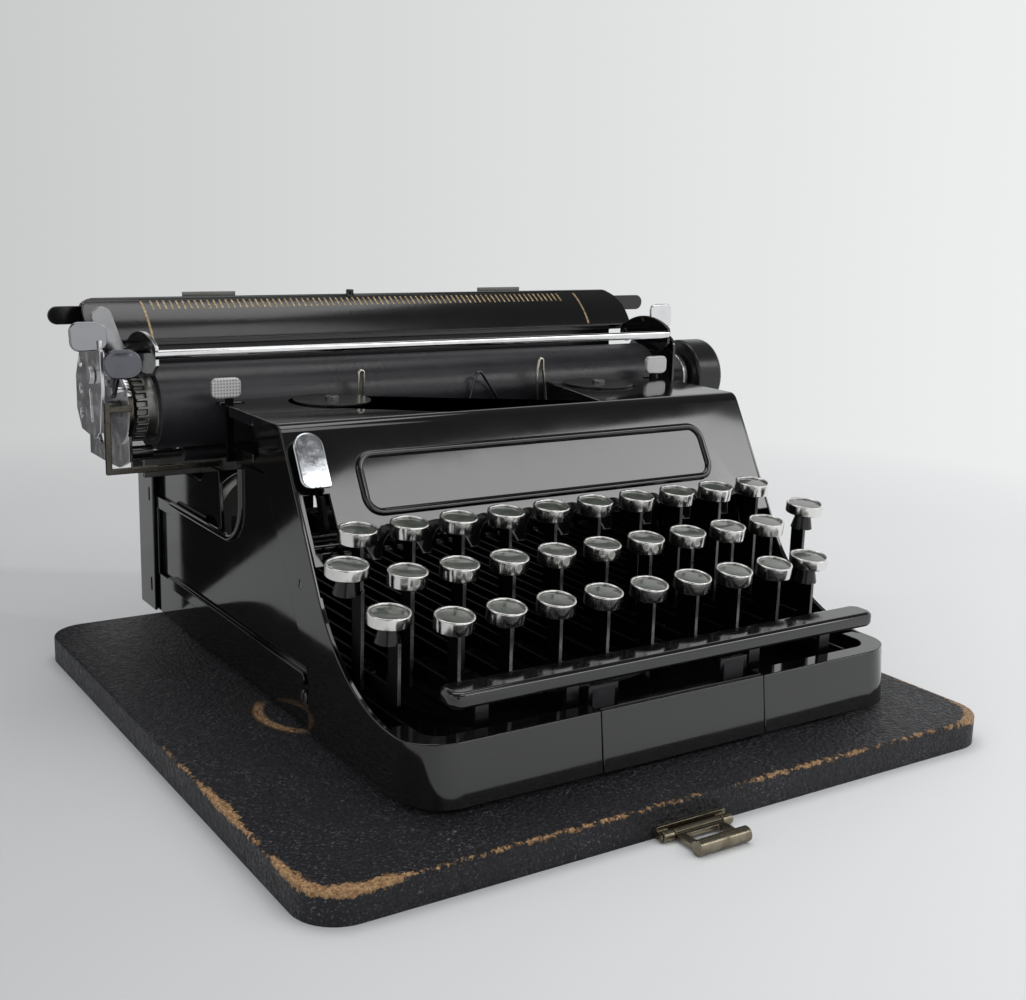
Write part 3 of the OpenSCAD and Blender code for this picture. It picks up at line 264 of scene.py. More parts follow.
class Tree:
    """Short calls for building one node tree."""

    def __init__(self, tree):
        self.tree = tree

    def add(self, kind, values=(), **attributes):
        node = self.tree.nodes.new(kind)
        for name, value in attributes.items():
            setattr(node, name, value)
        for name, value in dict(values).items():
            node.inputs[name].default_value = value
        return node

    def link(self, source, target):
        self.tree.links.new(source, target)

    def maths(self, operation, a, b=None, clamp=False):
        node = self.add("ShaderNodeMath", operation=operation, use_clamp=clamp)
        for socket, value in zip(node.inputs, (a, b)):
            if value is None:
                continue
            if isinstance(value, bpy.types.NodeSocket):
                self.link(value, socket)
            else:
                socket.default_value = value
        return node.outputs[0]

    def ramp(self, value, low, high, to_low=0.0, to_high=1.0):
        node = self.add("ShaderNodeMapRange", {1: low, 2: high, 3: to_low, 4: to_high})
        self.link(value, node.inputs[0])
        return node.outputs[0]

    def mix(self, factor, a, b):
        node = self.add("ShaderNodeMix", data_type="RGBA")
        for socket, value in ((node.inputs[0], factor), (node.inputs[6], a), (node.inputs[7], b)):
            if isinstance(value, bpy.types.NodeSocket):
                self.link(value, socket)
            elif isinstance(value, (int, float)):
                socket.default_value = value
            else:
                socket.default_value = (*value, 1)
        return node.outputs[2]

    def place(self):
        return self.add("ShaderNodeTexCoord").outputs["Object"]

    def vector(self, operation, a, b=None):
        node = self.add("ShaderNodeVectorMath", operation=operation)
        for socket, value in zip(node.inputs, (a, b)):
            if isinstance(value, bpy.types.NodeSocket):
                self.link(value, socket)
            elif value is not None:
                socket.default_value = value
        return node.outputs["Value" if operation in ("DOT_PRODUCT", "DISTANCE", "LENGTH") else "Vector"]

    def split(self, vector):
        node = self.add("ShaderNodeSeparateXYZ")
        self.link(vector, node.inputs[0])
        return node.outputs

    def noise(self, scale, detail=4.0, roughness=0.5, vector=None):
        node = self.add("ShaderNodeTexNoise", {"Scale": scale, "Detail": detail, "Roughness": roughness})
        self.link(vector or self.place(), node.inputs["Vector"])
        return node.outputs["Fac"]

    def stretched(self, scale):
        node = self.add("ShaderNodeMapping", {"Scale": scale})
        self.link(self.place(), node.inputs["Vector"])
        return node.outputs["Vector"]

    def bump(self, height, strength, distance):
        node = self.add("ShaderNodeBump", {"Strength": strength, "Distance": distance})
        self.link(height, node.inputs["Height"])
        return node.outputs["Normal"]


def new_group(name, inputs, outputs):
    """An empty shader node group with named inputs and outputs."""
    tree = bpy.data.node_groups.new(name, "ShaderNodeTree")
    for label, default in inputs.items():
        kind = "NodeSocketColor" if isinstance(default, tuple) else "NodeSocketFloat"
        socket = tree.interface.new_socket(label, in_out="INPUT", socket_type=kind)
        socket.default_value = (*default, 1) if isinstance(default, tuple) else default
    for label, kind in outputs.items():
        tree.interface.new_socket(label, in_out="OUTPUT", socket_type=kind)
    t = Tree(tree)
    return t, t.add("NodeGroupInput"), t.add("NodeGroupOutput")


def dust_group():
    """Dust on faces that look up, with a few specks and wiped streaks."""
    t, given, out = new_group(
        "Settled dust", {"Colour": (0.01, 0.01, 0.01), "Amount": 0.5, "Roughness": 0.1},
        {"Colour": "NodeSocketColor", "Roughness": "NodeSocketFloat"})
    dust_colour = (0.42, 0.41, 0.39)
    upward = t.split(t.add("ShaderNodeNewGeometry").outputs["Normal"])
    level = t.ramp(upward["Z"], 0.55, 0.98)
    cloud = t.ramp(t.noise(38, 5, 0.6), 0.5, 0.8)
    specks = t.ramp(t.noise(3200, 2, 0.6), 0.71, 0.78)
    film = t.maths("MULTIPLY", t.maths("MULTIPLY", level, cloud), given.outputs["Amount"])
    lying = t.maths("MULTIPLY", specks, t.maths("ADD", level, 0.12))
    speck = t.maths("MULTIPLY", lying, given.outputs["Amount"])
    amount = t.maths("ADD", t.maths("MULTIPLY", film, 0.025), t.maths("MULTIPLY", speck, 0.3), clamp=True)
    t.link(t.mix(amount, given.outputs["Colour"], dust_colour), out.inputs["Colour"])
    smear = t.ramp(t.noise(55, 6, 0.65), 0.4, 0.8, 0.0, 0.04)
    rougher = t.maths("ADD", smear, t.maths("MULTIPLY", film, 0.1))
    t.link(t.maths("ADD", given.outputs["Roughness"], rougher, clamp=True), out.inputs["Roughness"])
    return t.tree


def plate_group():
    """Plated metal: fine polish lines, cloudy tarnish and small pits."""
    t, given, out = new_group(
        "Old plate",
        {"Colour": (0.7, 0.7, 0.7), "Tarnish": (0.3, 0.25, 0.18), "Amount": 0.3, "Roughness": 0.1},
        {"Colour": "NodeSocketColor", "Roughness": "NodeSocketFloat", "Height": "NodeSocketFloat"})
    cloud = t.ramp(t.noise(160, 6, 0.7), 0.48, 0.78)
    pits = t.ramp(t.noise(1500, 3, 0.7), 0.7, 0.78)
    stain = t.maths("MULTIPLY", t.maths("ADD", cloud, pits, clamp=True), given.outputs["Amount"])
    t.link(t.mix(stain, given.outputs["Colour"], given.outputs["Tarnish"]), out.inputs["Colour"])
    polish = t.ramp(t.noise(420, 4), 0.3, 0.7, 0, 0.05)
    rougher = t.maths("ADD", t.maths("MULTIPLY", stain, 0.35), polish)
    t.link(t.maths("ADD", given.outputs["Roughness"], rougher, clamp=True), out.inputs["Roughness"])
    t.link(t.maths("SUBTRACT", t.noise(900, 3), pits), out.inputs["Height"])
    return t.tree


def backdrop_group():
    """The wall's shade by how far to the camera's right a direction leans."""
    given_stage = settings("stage")
    t, given, out = new_group("Backdrop shade", {"Across": 0.0}, {"Colour": "NodeSocketColor"})
    shade = t.ramp(given.outputs["Across"], -0.35, 0.35, given_stage.dim_side, given_stage.bright_side)
    t.link(t.mix(shade, (0.0, 0.0, 0.0), (0.985, 0.995, 1.0)), out.inputs["Colour"])
    return t.tree


GROUPS = {}
MATERIALS = {}


def group(tree, name, values):
    """Places a shared group in a material's tree with its own values."""
    node = tree.add("ShaderNodeGroup", node_tree=GROUPS[name])
    for label, value in values.items():
        if isinstance(value, bpy.types.NodeSocket):
            tree.link(value, node.inputs[label])
        else:
            node.inputs[label].default_value = (*value, 1) if hasattr(value, "__len__") else value
    return node.outputs


def material(name, slot_colour, **constants):
    """A new material with its Principled BSDF; constants go straight onto the shader's sockets."""
    made = bpy.data.materials.new(name)
    made.use_nodes = True
    made.diffuse_color = (*slot_colour, 1)
    tree = Tree(made.node_tree)
    shader = made.node_tree.nodes["Principled BSDF"]
    shader.inputs["Base Color"].default_value = (*slot_colour, 1)
    for label, value in constants.items():
        shader.inputs[label.replace("_", " ")].default_value = value
    MATERIALS[name] = made
    return tree, shader.inputs


def finish_from(tree, shader, name, **values):
    """Places a shared group and lets its colour and roughness reach the shader."""
    outputs = group(tree, name, values)
    tree.link(outputs["Colour"], shader["Base Color"])
    tree.link(outputs["Roughness"], shader["Roughness"])
    return outputs


def enamel_material():
    """Stoving enamel: a deep gloss with a very shallow swell and dust on level faces."""
    given = settings("enamel")
    t, shader = material("black_enamel", given.colour, Specular_IOR_Level=0.9)
    finish_from(t, shader, "dust", Colour=tuple(given.colour), Amount=given.dust, Roughness=given.roughness)
    t.link(t.bump(t.noise(30, 2, 0.4), 0.012, 2 * MM), shader["Normal"])


def satin_material(name, colour, specular, roughness, dust=0.25):
    """Thinner black finish on levers and inner parts; the levers' darker, duller copy carries painted
    shade.
    """
    t, shader = material(name, colour, Specular_IOR_Level=specular)
    finish_from(t, shader, "dust", Colour=colour, Amount=dust, Roughness=roughness)
    t.link(t.bump(t.noise(500, 4), 0.08, 0.3 * MM), shader["Normal"])


def knob_material():
    """The knob's black, dustier and more finely grained than the satin black."""
    t, shader = material("knob_black", (0.008, 0.008, 0.008), Specular_IOR_Level=0.5)
    finish_from(t, shader, "dust", Colour=(0.01, 0.01, 0.01), Amount=0.5, Roughness=0.26)
    t.link(t.bump(t.noise(800, 4), 0.1, 0.2 * MM), shader["Normal"])


def edge_wear(t, given, ragged, below):
    """Where the covering is worn through along the board's top edge, from 0 to 1."""
    parts = t.split(t.place())
    # The leaf of the hasp lies in front of the board's own front
    low, high = Vector((board_low.x, at(0, BOARD_FRONT, 0).y, 0)), board_high
    corner_r = BOARD_CORNER * MM

    def into_corner(axis):
        """How far a point lies beyond the start of the nearest round corner along an axis."""
        place = parts[axis.upper()]
        from_low = t.maths("SUBTRACT", place, getattr(low, axis))
        from_high = t.maths("SUBTRACT", getattr(high, axis), place)
        nearest = t.maths("MINIMUM", from_low, from_high)
        return t.maths("MAXIMUM", t.maths("SUBTRACT", corner_r, nearest), 0.0)

    dx, dy = into_corner("x"), into_corner("y")
    corner = t.maths("SQRT", t.maths("ADD", t.maths("MULTIPLY", dx, dx), t.maths("MULTIPLY", dy, dy)))
    inward = t.maths("SUBTRACT", corner_r, corner)
    patchy = t.ramp(t.noise(45, 5, 0.7), 0.38, 0.56, -0.15, 1.0)
    width = t.maths("MULTIPLY", patchy, given.wear_width)
    # Knocks have rubbed the front corners and the left edge most: place, reach and extra width
    knocks = ((at(-139, -89, 0), 30, 3.2), (at(117, -89, 0), 22, 3.4), (at(-144, -35, 0), 26, 1.6))
    for knock, reach, extra in knocks:
        away = t.vector("DISTANCE", t.place(), knock)
        width = t.maths("ADD", width, t.ramp(away, 4 * MM, reach * MM, extra * MM, 0.0))
    tear = t.maths("MULTIPLY", t.maths("SUBTRACT", ragged, 0.5), 9 * MM)
    # The edges further back are hardly worn
    rear = t.ramp(parts["Y"], at(0, 0, 0).y, at(0, 90, 0).y, 0.0, 2.6 * MM)
    from_edge = t.maths("ADD", t.maths("ADD", inward, t.maths("MULTIPLY", below, 1.5)), rear)
    return t.ramp(t.maths("SUBTRACT", t.maths("ADD", width, tear), from_edge), 0.0, 0.3 * MM)


def crescent_scuff(t, ragged):
    """A worn crescent beside the machine, from 0 to 1."""
    away = t.vector("DISTANCE", t.place(), at(-85.2, 27.5, 0))
    ring = t.maths("ABSOLUTE", t.maths("SUBTRACT", away, 22.5 * MM))
    crescent = t.ramp(ring, 1.2 * MM, 2.4 * MM, 1.0, 0.0)
    beside = t.ramp(t.vector("DISTANCE", t.place(), at(-107, 26, 0)), 13 * MM, 19 * MM, 1.0, 0.0)
    return t.maths("MULTIPLY", t.maths("MULTIPLY", crescent, beside), t.ramp(ragged, 0.4, 0.46))


def covering_material():
    """Pebbled covering on the board's faces, worn to the fibre along the top edge."""
    given = settings("board")
    fleck_colour, scratch_colour, fibre_shade = (0.17, 0.17, 0.19), (0.3, 0.29, 0.27), (0.2, 0.09, 0.035)
    t, shader = material("board_covering", given.colour, Specular_IOR_Level=0.4)
    below = t.maths("MAXIMUM", t.maths("SUBTRACT", board_z, t.split(t.place())["Z"]), 0.0)
    ragged = t.noise(620, 6, 0.8)
    bare = t.maths("MAXIMUM", edge_wear(t, given, ragged, below), crescent_scuff(t, ragged))
    flecks = t.ramp(t.noise(1300, 3, 0.65), 0.58, 0.66)
    pale_flecks = t.maths("MULTIPLY", flecks, t.ramp(t.noise(60, 3), 0.35, 0.65, 0.3, 1.0))
    scratches = t.ramp(t.noise(90, 3, 0.6, t.stretched((4.0, 4.0, 30.0))), 0.66, 0.7)
    on_sides = t.maths("MULTIPLY", scratches, t.ramp(below, 0.5 * MM, 1.0 * MM, 0.0, 0.25))
    cover = t.mix(pale_flecks, tuple(given.colour), fleck_colour)
    cover = t.mix(on_sides, cover, scratch_colour)
    fibre = t.mix(t.ramp(t.noise(900, 5, 0.8), 0.4, 0.62), fibre_shade, tuple(given.fibre))
    t.link(t.mix(bare, cover, fibre), shader["Base Color"])
    t.link(t.ramp(t.noise(300, 4), 0.3, 0.7, 0.36, 0.55), shader["Roughness"])
    pebbles = t.add("ShaderNodeTexVoronoi", {"Scale": 700.0, "Randomness": 1.0}, feature="SMOOTH_F1")
    t.link(t.place(), pebbles.inputs["Vector"])
    grain = t.maths("ADD", pebbles.outputs["Distance"], t.noise(1100, 4, 0.7))
    t.link(t.bump(t.maths("SUBTRACT", grain, bare), 1.0, 0.9 * MM), shader["Normal"])


def tarnished(name, colour, tarnish, amount, roughness):
    """A metal with its tarnish and no bump yet."""
    t, shader = material(name, colour, Metallic=1.0)
    plate = finish_from(t, shader, "plate", Colour=tuple(colour), Tarnish=tarnish, Amount=amount,
                        Roughness=roughness)
    return t, shader, plate


def plate_material(name, colour, tarnish, amount, roughness, bump=0.03):
    """Plated metal with shallow unevenness and pits."""
    t, shader, plate = tarnished(name, colour, tarnish, amount, roughness)
    t.link(t.bump(plate["Height"], bump, 0.1 * MM), shader["Normal"])


def steel_material(name, colour, tarnish, roughness, lines):
    """Steel with fine lines left by rolling or turning, which run along the axis of least stretch."""
    t, shader, _ = tarnished(name, colour, tarnish, 0.55, roughness)
    t.link(t.bump(t.noise(60, 2, 0.5, t.stretched(lines)), 0.12, 0.2 * MM), shader["Normal"])


def rubber_material():
    """Ground rubber with fine rings, small dents and a dusty grey film."""
    t, shader = material("platen_rubber", (0.018, 0.018, 0.02), Specular_IOR_Level=0.45)
    rings = t.noise(90, 3, 0.6, t.stretched((22.0, 0.4, 0.4)))
    dents = t.add("ShaderNodeTexVoronoi", {"Scale": 420.0})
    t.link(t.place(), dents.inputs["Vector"])
    film = t.ramp(t.noise(30, 5, 0.65), 0.35, 0.75)
    greyed = t.mix(t.maths("MULTIPLY", film, 0.4), (0.014, 0.014, 0.017), (0.042, 0.042, 0.048))
    t.link(greyed, shader["Base Color"])
    t.link(t.ramp(film, 0.0, 1.0, 0.26, 0.4), shader["Roughness"])
    height = t.maths("ADD", rings, t.maths("MULTIPLY", dents.outputs["Distance"], 0.35))
    t.link(t.bump(height, 0.34, 0.3 * MM), shader["Normal"])


def waves(t, parts, operation, pitch):
    """Waves of one pitch in metres along x and along z."""
    return [t.maths(operation, t.maths("MULTIPLY", parts[axis], 2 * math.pi / pitch)) for axis in "XZ"]


def knurled_material():
    """Grey plated tab with small cross-cut squares."""
    t, shader, _ = tarnished("knurled_steel", (0.14, 0.14, 0.15), (0.05, 0.05, 0.04), 0.5, 0.3)
    slanted = t.add("ShaderNodeMapping", {"Rotation": (0, math.radians(45), 0)})
    t.link(t.place(), slanted.inputs["Vector"])
    ridges = waves(t, t.split(slanted.outputs["Vector"]), "SINE", 0.75 * MM)
    t.link(t.bump(t.maths("MAXIMUM", *ridges), 0.9, 0.25 * MM), shader["Normal"])


def dotted_material():
    """Pale plated tab with rows of small dimples."""
    t, shader = material("dimpled_tab", (0.5, 0.5, 0.49), Metallic=0.6, Roughness=0.4)
    crests = waves(t, t.split(t.place()), "COSINE", 1.15 * MM)
    dots = t.ramp(t.maths("ADD", *crests), 0.5, 1.1)
    # Painted shade: each dimple is coloured darker than the flat round it
    t.link(t.mix(dots, (0.62, 0.62, 0.61), (0.25, 0.25, 0.25)), shader["Base Color"])
    t.link(t.ramp(t.noise(400, 4), 0.3, 0.7, 0.3, 0.5), shader["Roughness"])
    t.link(t.bump(dots, -0.8, 0.2 * MM), shader["Normal"])


def glazed_disc_material():
    """Plain grey-green disc under glass."""
    t, shader = material("glazed_disc", (0.05, 0.055, 0.05), Coat_Weight=1.0, Coat_Roughness=0.02,
                         Coat_IOR=1.5)
    cloud = t.ramp(t.noise(300, 4, 0.6), 0.35, 0.7)
    t.link(t.mix(cloud, (0.035, 0.042, 0.034), (0.11, 0.125, 0.1)), shader["Base Color"])
    t.link(t.ramp(cloud, 0.0, 1.0, 0.3, 0.5), shader["Roughness"])


def gilt_material():
    """Thin gilt paint of the scale, patchy with age."""
    given = settings("metal")
    t, shader = material("gilt_paint", given.gilt, Metallic=0.35)
    patch = t.ramp(t.noise(900, 4, 0.7), 0.4, 0.62)
    t.link(t.mix(patch, (0.22, 0.15, 0.07), tuple(given.gilt)), shader["Base Color"])
    t.link(t.ramp(patch, 0.0, 1.0, 0.6, 0.42), shader["Roughness"])


def ribbon_material():
    """Inked cloth wound on the spools."""
    t, shader = material("inked_cloth", (0.01, 0.01, 0.014), Specular_IOR_Level=0.2)
    t.link(t.mix(t.noise(1200, 2), (0.006, 0.006, 0.01), (0.03, 0.03, 0.04)), shader["Base Color"])
    t.link(t.ramp(t.noise(400, 3), 0.3, 0.7, 0.75, 0.95), shader["Roughness"])
    wound = t.noise(300, 3, 0.6, t.stretched((1.0, 1.0, 6.0)))
    t.link(t.bump(wound, 0.5, 0.2 * MM), shader["Normal"])


def make_materials():
    """Makes the shared groups and every finish that the machine's pieces use."""
    metal = settings("metal")
    for name, make in (("dust", dust_group), ("plate", plate_group), ("backdrop", backdrop_group)):
        GROUPS[name] = make()
    # Colour, specular level, roughness and dust
    satins = {
        "black_satin": ((0.005, 0.005, 0.005), 0.5, 0.22),
        # The levers' black is darker and duller than black_satin: painted shade of the shadowed keyboard
        # well
        "shaded_lever_black": ((0.002, 0.002, 0.002), 0.06, 0.45, 0.04),
        "table_black": ((0.004, 0.004, 0.0045), 0.7, 0.17),
    }
    for name, values in satins.items():
        satin_material(name, *values)
    # Colour, tarnish, amount of tarnish, roughness and bump
    plates = {
        "chrome_plate": (metal.chrome, (0.42, 0.38, 0.32), 0.3, 0.06),
        "key_nickel": (metal.nickel, (0.45, 0.42, 0.38), 0.2, 0.14),
        "dull_nickel": ((0.36, 0.36, 0.37), (0.25, 0.24, 0.23), 0.5, 0.13),
        "tongue_chrome": ((0.8, 0.83, 0.87), (0.45, 0.45, 0.45), 0.2, 0.05),
        "collar_chrome": ((0.85, 0.85, 0.86), (0.5, 0.5, 0.48), 0.2, 0.2),
        "strap_metal": ((0.1, 0.09, 0.075), (0.05, 0.045, 0.035), 0.5, 0.2),
        "smoked_chrome": ((0.13, 0.13, 0.15), (0.08, 0.07, 0.07), 0.4, 0.1),
        "pad_chrome": ((0.33, 0.33, 0.35), (0.25, 0.25, 0.25), 0.3, 0.08),
        "mottled_nickel": ((0.78, 0.78, 0.8), (0.25, 0.24, 0.23), 0.75, 0.27, 0.1),
        "aged_nickel": ((0.26, 0.23, 0.17), (0.07, 0.05, 0.03), 0.85, 0.24, 0.1),
        # The stems' paler front faces are a painted highlight
        "lever_highlight": ((0.16, 0.16, 0.16), (0.04, 0.04, 0.03), 0.7, 0.25),
        "wire_nickel": ((0.62, 0.58, 0.5), (0.3, 0.26, 0.2), 0.4, 0.18),
        "wire_steel": ((0.09, 0.09, 0.1), (0.04, 0.04, 0.04), 0.5, 0.2),
    }
    for name, values in plates.items():
        plate_material(name, *values)
    steel_material("oiled_steel", metal.steel, (0.12, 0.09, 0.06), 0.3, (1.0, 14.0, 14.0))
    steel_material("blued_steel", (0.13, 0.13, 0.14), (0.05, 0.04, 0.03), 0.28, (14.0, 1.0, 14.0))
    for make in (enamel_material, covering_material, rubber_material, knurled_material, dotted_material,
                 glazed_disc_material, gilt_material, knob_material, ribbon_material):
        make()


# Mesh helpers


def link_piece(piece, body):
    """Puts a piece into the scene and lets it ride on a body."""
    bpy.context.scene.collection.objects.link(piece)
    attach(piece, body)
    return piece


def smooth(mesh):
    """Smooth shading that stays sharp where two faces meet at a wide angle."""
    made = bmesh.new()
    made.from_mesh(mesh)
    for face in made.faces:
        face.smooth = True
    for edge in made.edges:
        edge.smooth = len(edge.link_faces) == 2 and edge.calc_face_angle() < SMOOTH_ANGLE
    made.to_mesh(mesh)
    made.free()


def round_edges(piece, width, segments):
    """Rounds every sharp edge, as stamping and polishing leave them."""
    bevel = piece.modifiers.new("Rounded edges", "BEVEL")
    bevel.width = width
    bevel.segments = segments
    bevel.limit_method = "ANGLE"
    bevel.angle_limit = ROUND_ANGLE
    bevel.harden_normals = True
    bevel.use_clamp_overlap = False
    return bevel


def mesh_piece(name, verts, faces, body, finish):
    """A piece of one finish from points and faces."""
    mesh = bpy.data.meshes.new(name)
    mesh.from_pydata([tuple(v) for v in verts], [], faces)
    mesh.update()
    mesh.materials.append(MATERIALS[finish])
    return link_piece(bpy.data.objects.new(name, mesh), body)


def body_of(node):
    """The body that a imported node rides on."""
    return frame["nodes"][node]["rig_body"]


def dressed(node, finishes, radius, choose=None, segments=2, keep=None, reshape=None, share=None):
    """A copy of a node with clean flat faces and rounded edges that stands for it.

    choose gives the index of a face's finish from its middle and normal, in the machine's frame in
    millimetres, keep tells which faces stay, reshape gives how far a point moves, and share gives
    how much of the radius an edge gets.
    """
    made = bmesh.new()
    made.from_mesh(frame["nodes"][node].data)
    bmesh.ops.remove_doubles(made, verts=made.verts, dist=0.002 * MM)
    bmesh.ops.dissolve_limit(
        made, angle_limit=math.radians(1.0), verts=made.verts, edges=made.edges, delimit={"NORMAL"})
    made.normal_update()
    origin = at(0, 0, 0)
    unwanted = []
    for face in made.faces:
        middle = (face.calc_center_median() - origin) / MM
        face.material_index = choose(middle, face.normal) if choose else 0
        if keep and not keep(middle, face.normal):
            unwanted.append(face)
    if unwanted:
        bmesh.ops.delete(made, geom=unwanted, context="FACES")
    if reshape:
        for vert in made.verts:
            vert.co += reshape((vert.co - origin) / MM) * MM
    if share:
        weights = made.edges.layers.float.new("bevel_weight_edge")
        for edge in made.edges:
            if len(edge.link_faces) == 2 and edge.calc_face_angle() > ROUND_ANGLE:
                edge[weights] = share(((edge.verts[0].co + edge.verts[1].co) / 2 - origin) / MM)
    name = node + "_finish"
    mesh = bpy.data.meshes.new(name)
    made.to_mesh(mesh)
    made.free()
    for finish in finishes:
        mesh.materials.append(MATERIALS[finish])
    smooth(mesh)
    piece = link_piece(bpy.data.objects.new(name, mesh), body_of(node))
    bevel = round_edges(piece, radius, segments)
    if share:
        bevel.limit_method = "WEIGHT"
    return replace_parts(piece, node)


def lathe(profile, sides):
    """Points and faces of an outline of (radius, height) turned about the z axis."""
    verts, faces = [], []
    rings = []
    for radius, height in profile:
        if radius < 1e-6:
            rings.append([len(verts)])
            verts.append(Vector((0, 0, height * MM)))
            continue
        first = len(verts)
        for i in range(sides):
            turn = 2 * math.pi * i / sides
            across, along = radius * MM * math.cos(turn), radius * MM * math.sin(turn)
            verts.append(Vector((across, along, height * MM)))
        rings.append(list(range(first, first + sides)))
    for lower, upper in zip(rings, rings[1:]):
        for i in range(sides):
            j = (i + 1) % sides
            # A ring that is one point on the axis gives a triangle
            low_pair = [lower[i % len(lower)], lower[j % len(lower)]]
            high_pair = [upper[j % len(upper)], upper[i % len(upper)]]
            corners = list(dict.fromkeys(low_pair + high_pair))
            if len(corners) > 2:
                faces.append(corners)
    return verts, faces


def turned(name, profile, matrix, body, finish, sides):
    """A turned piece: an outline of (radius, height) in millimetres, placed by a matrix."""
    verts, faces = lathe(profile, sides)
    piece = mesh_piece(name, [matrix @ v for v in verts], faces, body, finish)
    smooth(piece.data)
    return piece


def arc(radius, start, end, steps, centre=(0.0, 0.0)):
    """Points of an arc in degrees."""
    points = []
    for i in range(steps + 1):
        turn = math.radians(start + (end - start) * i / steps)
        points.append((centre[0] + radius * math.cos(turn), centre[1] + radius * math.sin(turn)))
    return points


def standing(place, axis):
    """A matrix that stands a turned piece at a place, along an axis."""
    quarter = math.pi / 2
    turns = {"X": (quarter, "Y"), "-X": (-quarter, "Y"), "Y": (-quarter, "X"), "Z": (0, "Z")}
    angle, about = turns[axis]
    return Matrix.Translation(place) @ Matrix.Rotation(angle, 4, about)


def screw(name, place, axis, radius, turn):
    """A slotted screw head on the machine: a low dome with its driver slot cut across."""
    dome = 0.35
    head = [(radius, -0.6), (radius, dome * 0.4)]
    head += [(radius * math.cos(a), dome * (0.4 + 0.6 * math.sin(a))) for a in (0.5, 1.0, 1.35)]
    head.append((0, dome))
    verts, faces = lathe(head, 24)
    made = bmesh.new()
    points = [made.verts.new(v) for v in verts]
    for face in faces:
        made.faces.new([points[i] for i in face])
    spin = Matrix.Rotation(math.radians(turn), 3, "Z")
    half_slot = radius * 0.14 * MM
    slot_depth = 0.45 * MM
    for sign in (1, -1):
        bmesh.ops.bisect_plane(
            made, geom=made.verts[:] + made.edges[:] + made.faces[:],
            plane_co=spin @ Vector((sign * half_slot, 0, 0)), plane_no=spin @ Vector((1, 0, 0)))
    for face in list(made.faces):
        middle = spin.inverted() @ face.calc_center_median()
        if abs(middle.x) < half_slot and middle.z > dome * 0.3 * MM:
            for floor in bmesh.ops.extrude_discrete_faces(made, faces=[face])["faces"]:
                bmesh.ops.translate(made, verts=floor.verts, vec=(0, 0, -slot_depth))
    mesh = bpy.data.meshes.new(name)
    made.to_mesh(mesh)
    made.free()
    mesh.transform(standing(place, axis))
    mesh.materials.append(MATERIALS["oiled_steel"])
    smooth(mesh)
    return link_piece(bpy.data.objects.new(name, mesh), "machine")


def rod_piece(name, points, radius, body, finish, closed=False, resolution=4):
    """A wire or bead that runs through points."""
    curve = bpy.data.curves.new(name, "CURVE")
    curve.dimensions = "3D"
    curve.bevel_depth = radius
    curve.bevel_resolution = resolution
    curve.use_fill_caps = True
    line = curve.splines.new("POLY")
    line.points.add(len(points) - 1)
    for spot, point in zip(line.points, points):
        spot.co = (*point, 1)
    line.use_cyclic_u = closed
    line.use_smooth = True
    curve.materials.append(MATERIALS[finish])
    return link_piece(bpy.data.objects.new(name, curve), body)


def round_rect(wide, deep, corner, steps=7):
    """Outline of a rectangle with round corners."""
    points = []
    for sx, sy, start in ((1, 1, 0), (-1, 1, 90), (-1, -1, 180), (1, -1, 270)):
        centre = (sx * (wide / 2 - corner), sy * (deep / 2 - corner))
        points += arc(corner, start, start + 90, steps, centre)
    return points


def domed(rows, up, thick, dome):
    """A plate's rows of points with the rings of a swell added to both of its faces."""
    edge = rows[-1]
    centre = sum(edge, Vector()) / len(edge)
    upper, lower = [], []
    for share in DOME_RINGS:
        height = dome * (1 - share * share)
        ring = [centre + (v - centre) * share + up * height for v in edge]
        upper.append(ring)
        lower.append([v - up * (thick + 2 * height) for v in ring])
    return lower[::-1] + rows + upper


def rounded_plate(name, outline, thick, rim, matrix, body, finish, dome=0.0):
    """A plate with rolled rims from a convex outline in millimetres, centred on a matrix.

    With dome, both of its faces swell by that much towards their middles.
    """
    steps = 5
    levels = [(rim + 0.25, -thick / 2)]
    for i in range(steps + 1):
        turn = math.pi / 2 * i / steps
        levels.append((rim * (1 - math.sin(turn)), -thick / 2 + rim * (1 - math.cos(turn))))
    levels += [(inset, -height) for inset, height in reversed(levels)]
    points = [Vector(p) for p in outline]
    count = len(points)
    inward = []
    for i in range(count):
        along = (points[(i + 1) % count] - points[i - 1]).normalized()
        inward.append(Vector((-along.y, along.x)))
    rows = []
    for inset, height in levels:
        spots = [point + way * inset for point, way in zip(points, inward)]
        rows.append([matrix @ (Vector((spot.x, spot.y, height)) * MM) for spot in spots])
    if dome:
        up = (matrix.to_3x3() @ Vector((0, 0, 1))).normalized() * MM
        rows = domed(rows, up, thick, dome)
    verts = [v for row in rows for v in row]
    faces = [list(reversed(range(count))), list(range(len(verts) - count, len(verts)))]
    for k in range(len(rows) - 1):
        for i in range(count):
            j = (i + 1) % count
            faces.append([k * count + i, k * count + j, (k + 1) * count + j, (k + 1) * count + i])
    piece = mesh_piece(name, verts, faces, body, finish)
    smooth(piece.data)
    return piece


def tab_keep(matrix, wide, deep):
    """Tells the faces of a node that aren't part of its flat tab, which lies on a matrix."""
    back = matrix.inverted()
    origin = at(0, 0, 0)

    def keep(middle, normal):
        spot = back @ (origin + middle * MM) / MM
        inside = abs(spot.x) < wide / 2 + 0.05 and abs(spot.y) < deep / 2 + 0.05
        return not (inside and -0.1 < spot.z < 1.5)

    return keep


def tilted(place, degrees):
    """A matrix for a piece at a place whose face leans towards the front, and at 90 faces it."""
    return Matrix.Translation(place) @ Matrix.Rotation(math.radians(degrees), 4, "X")


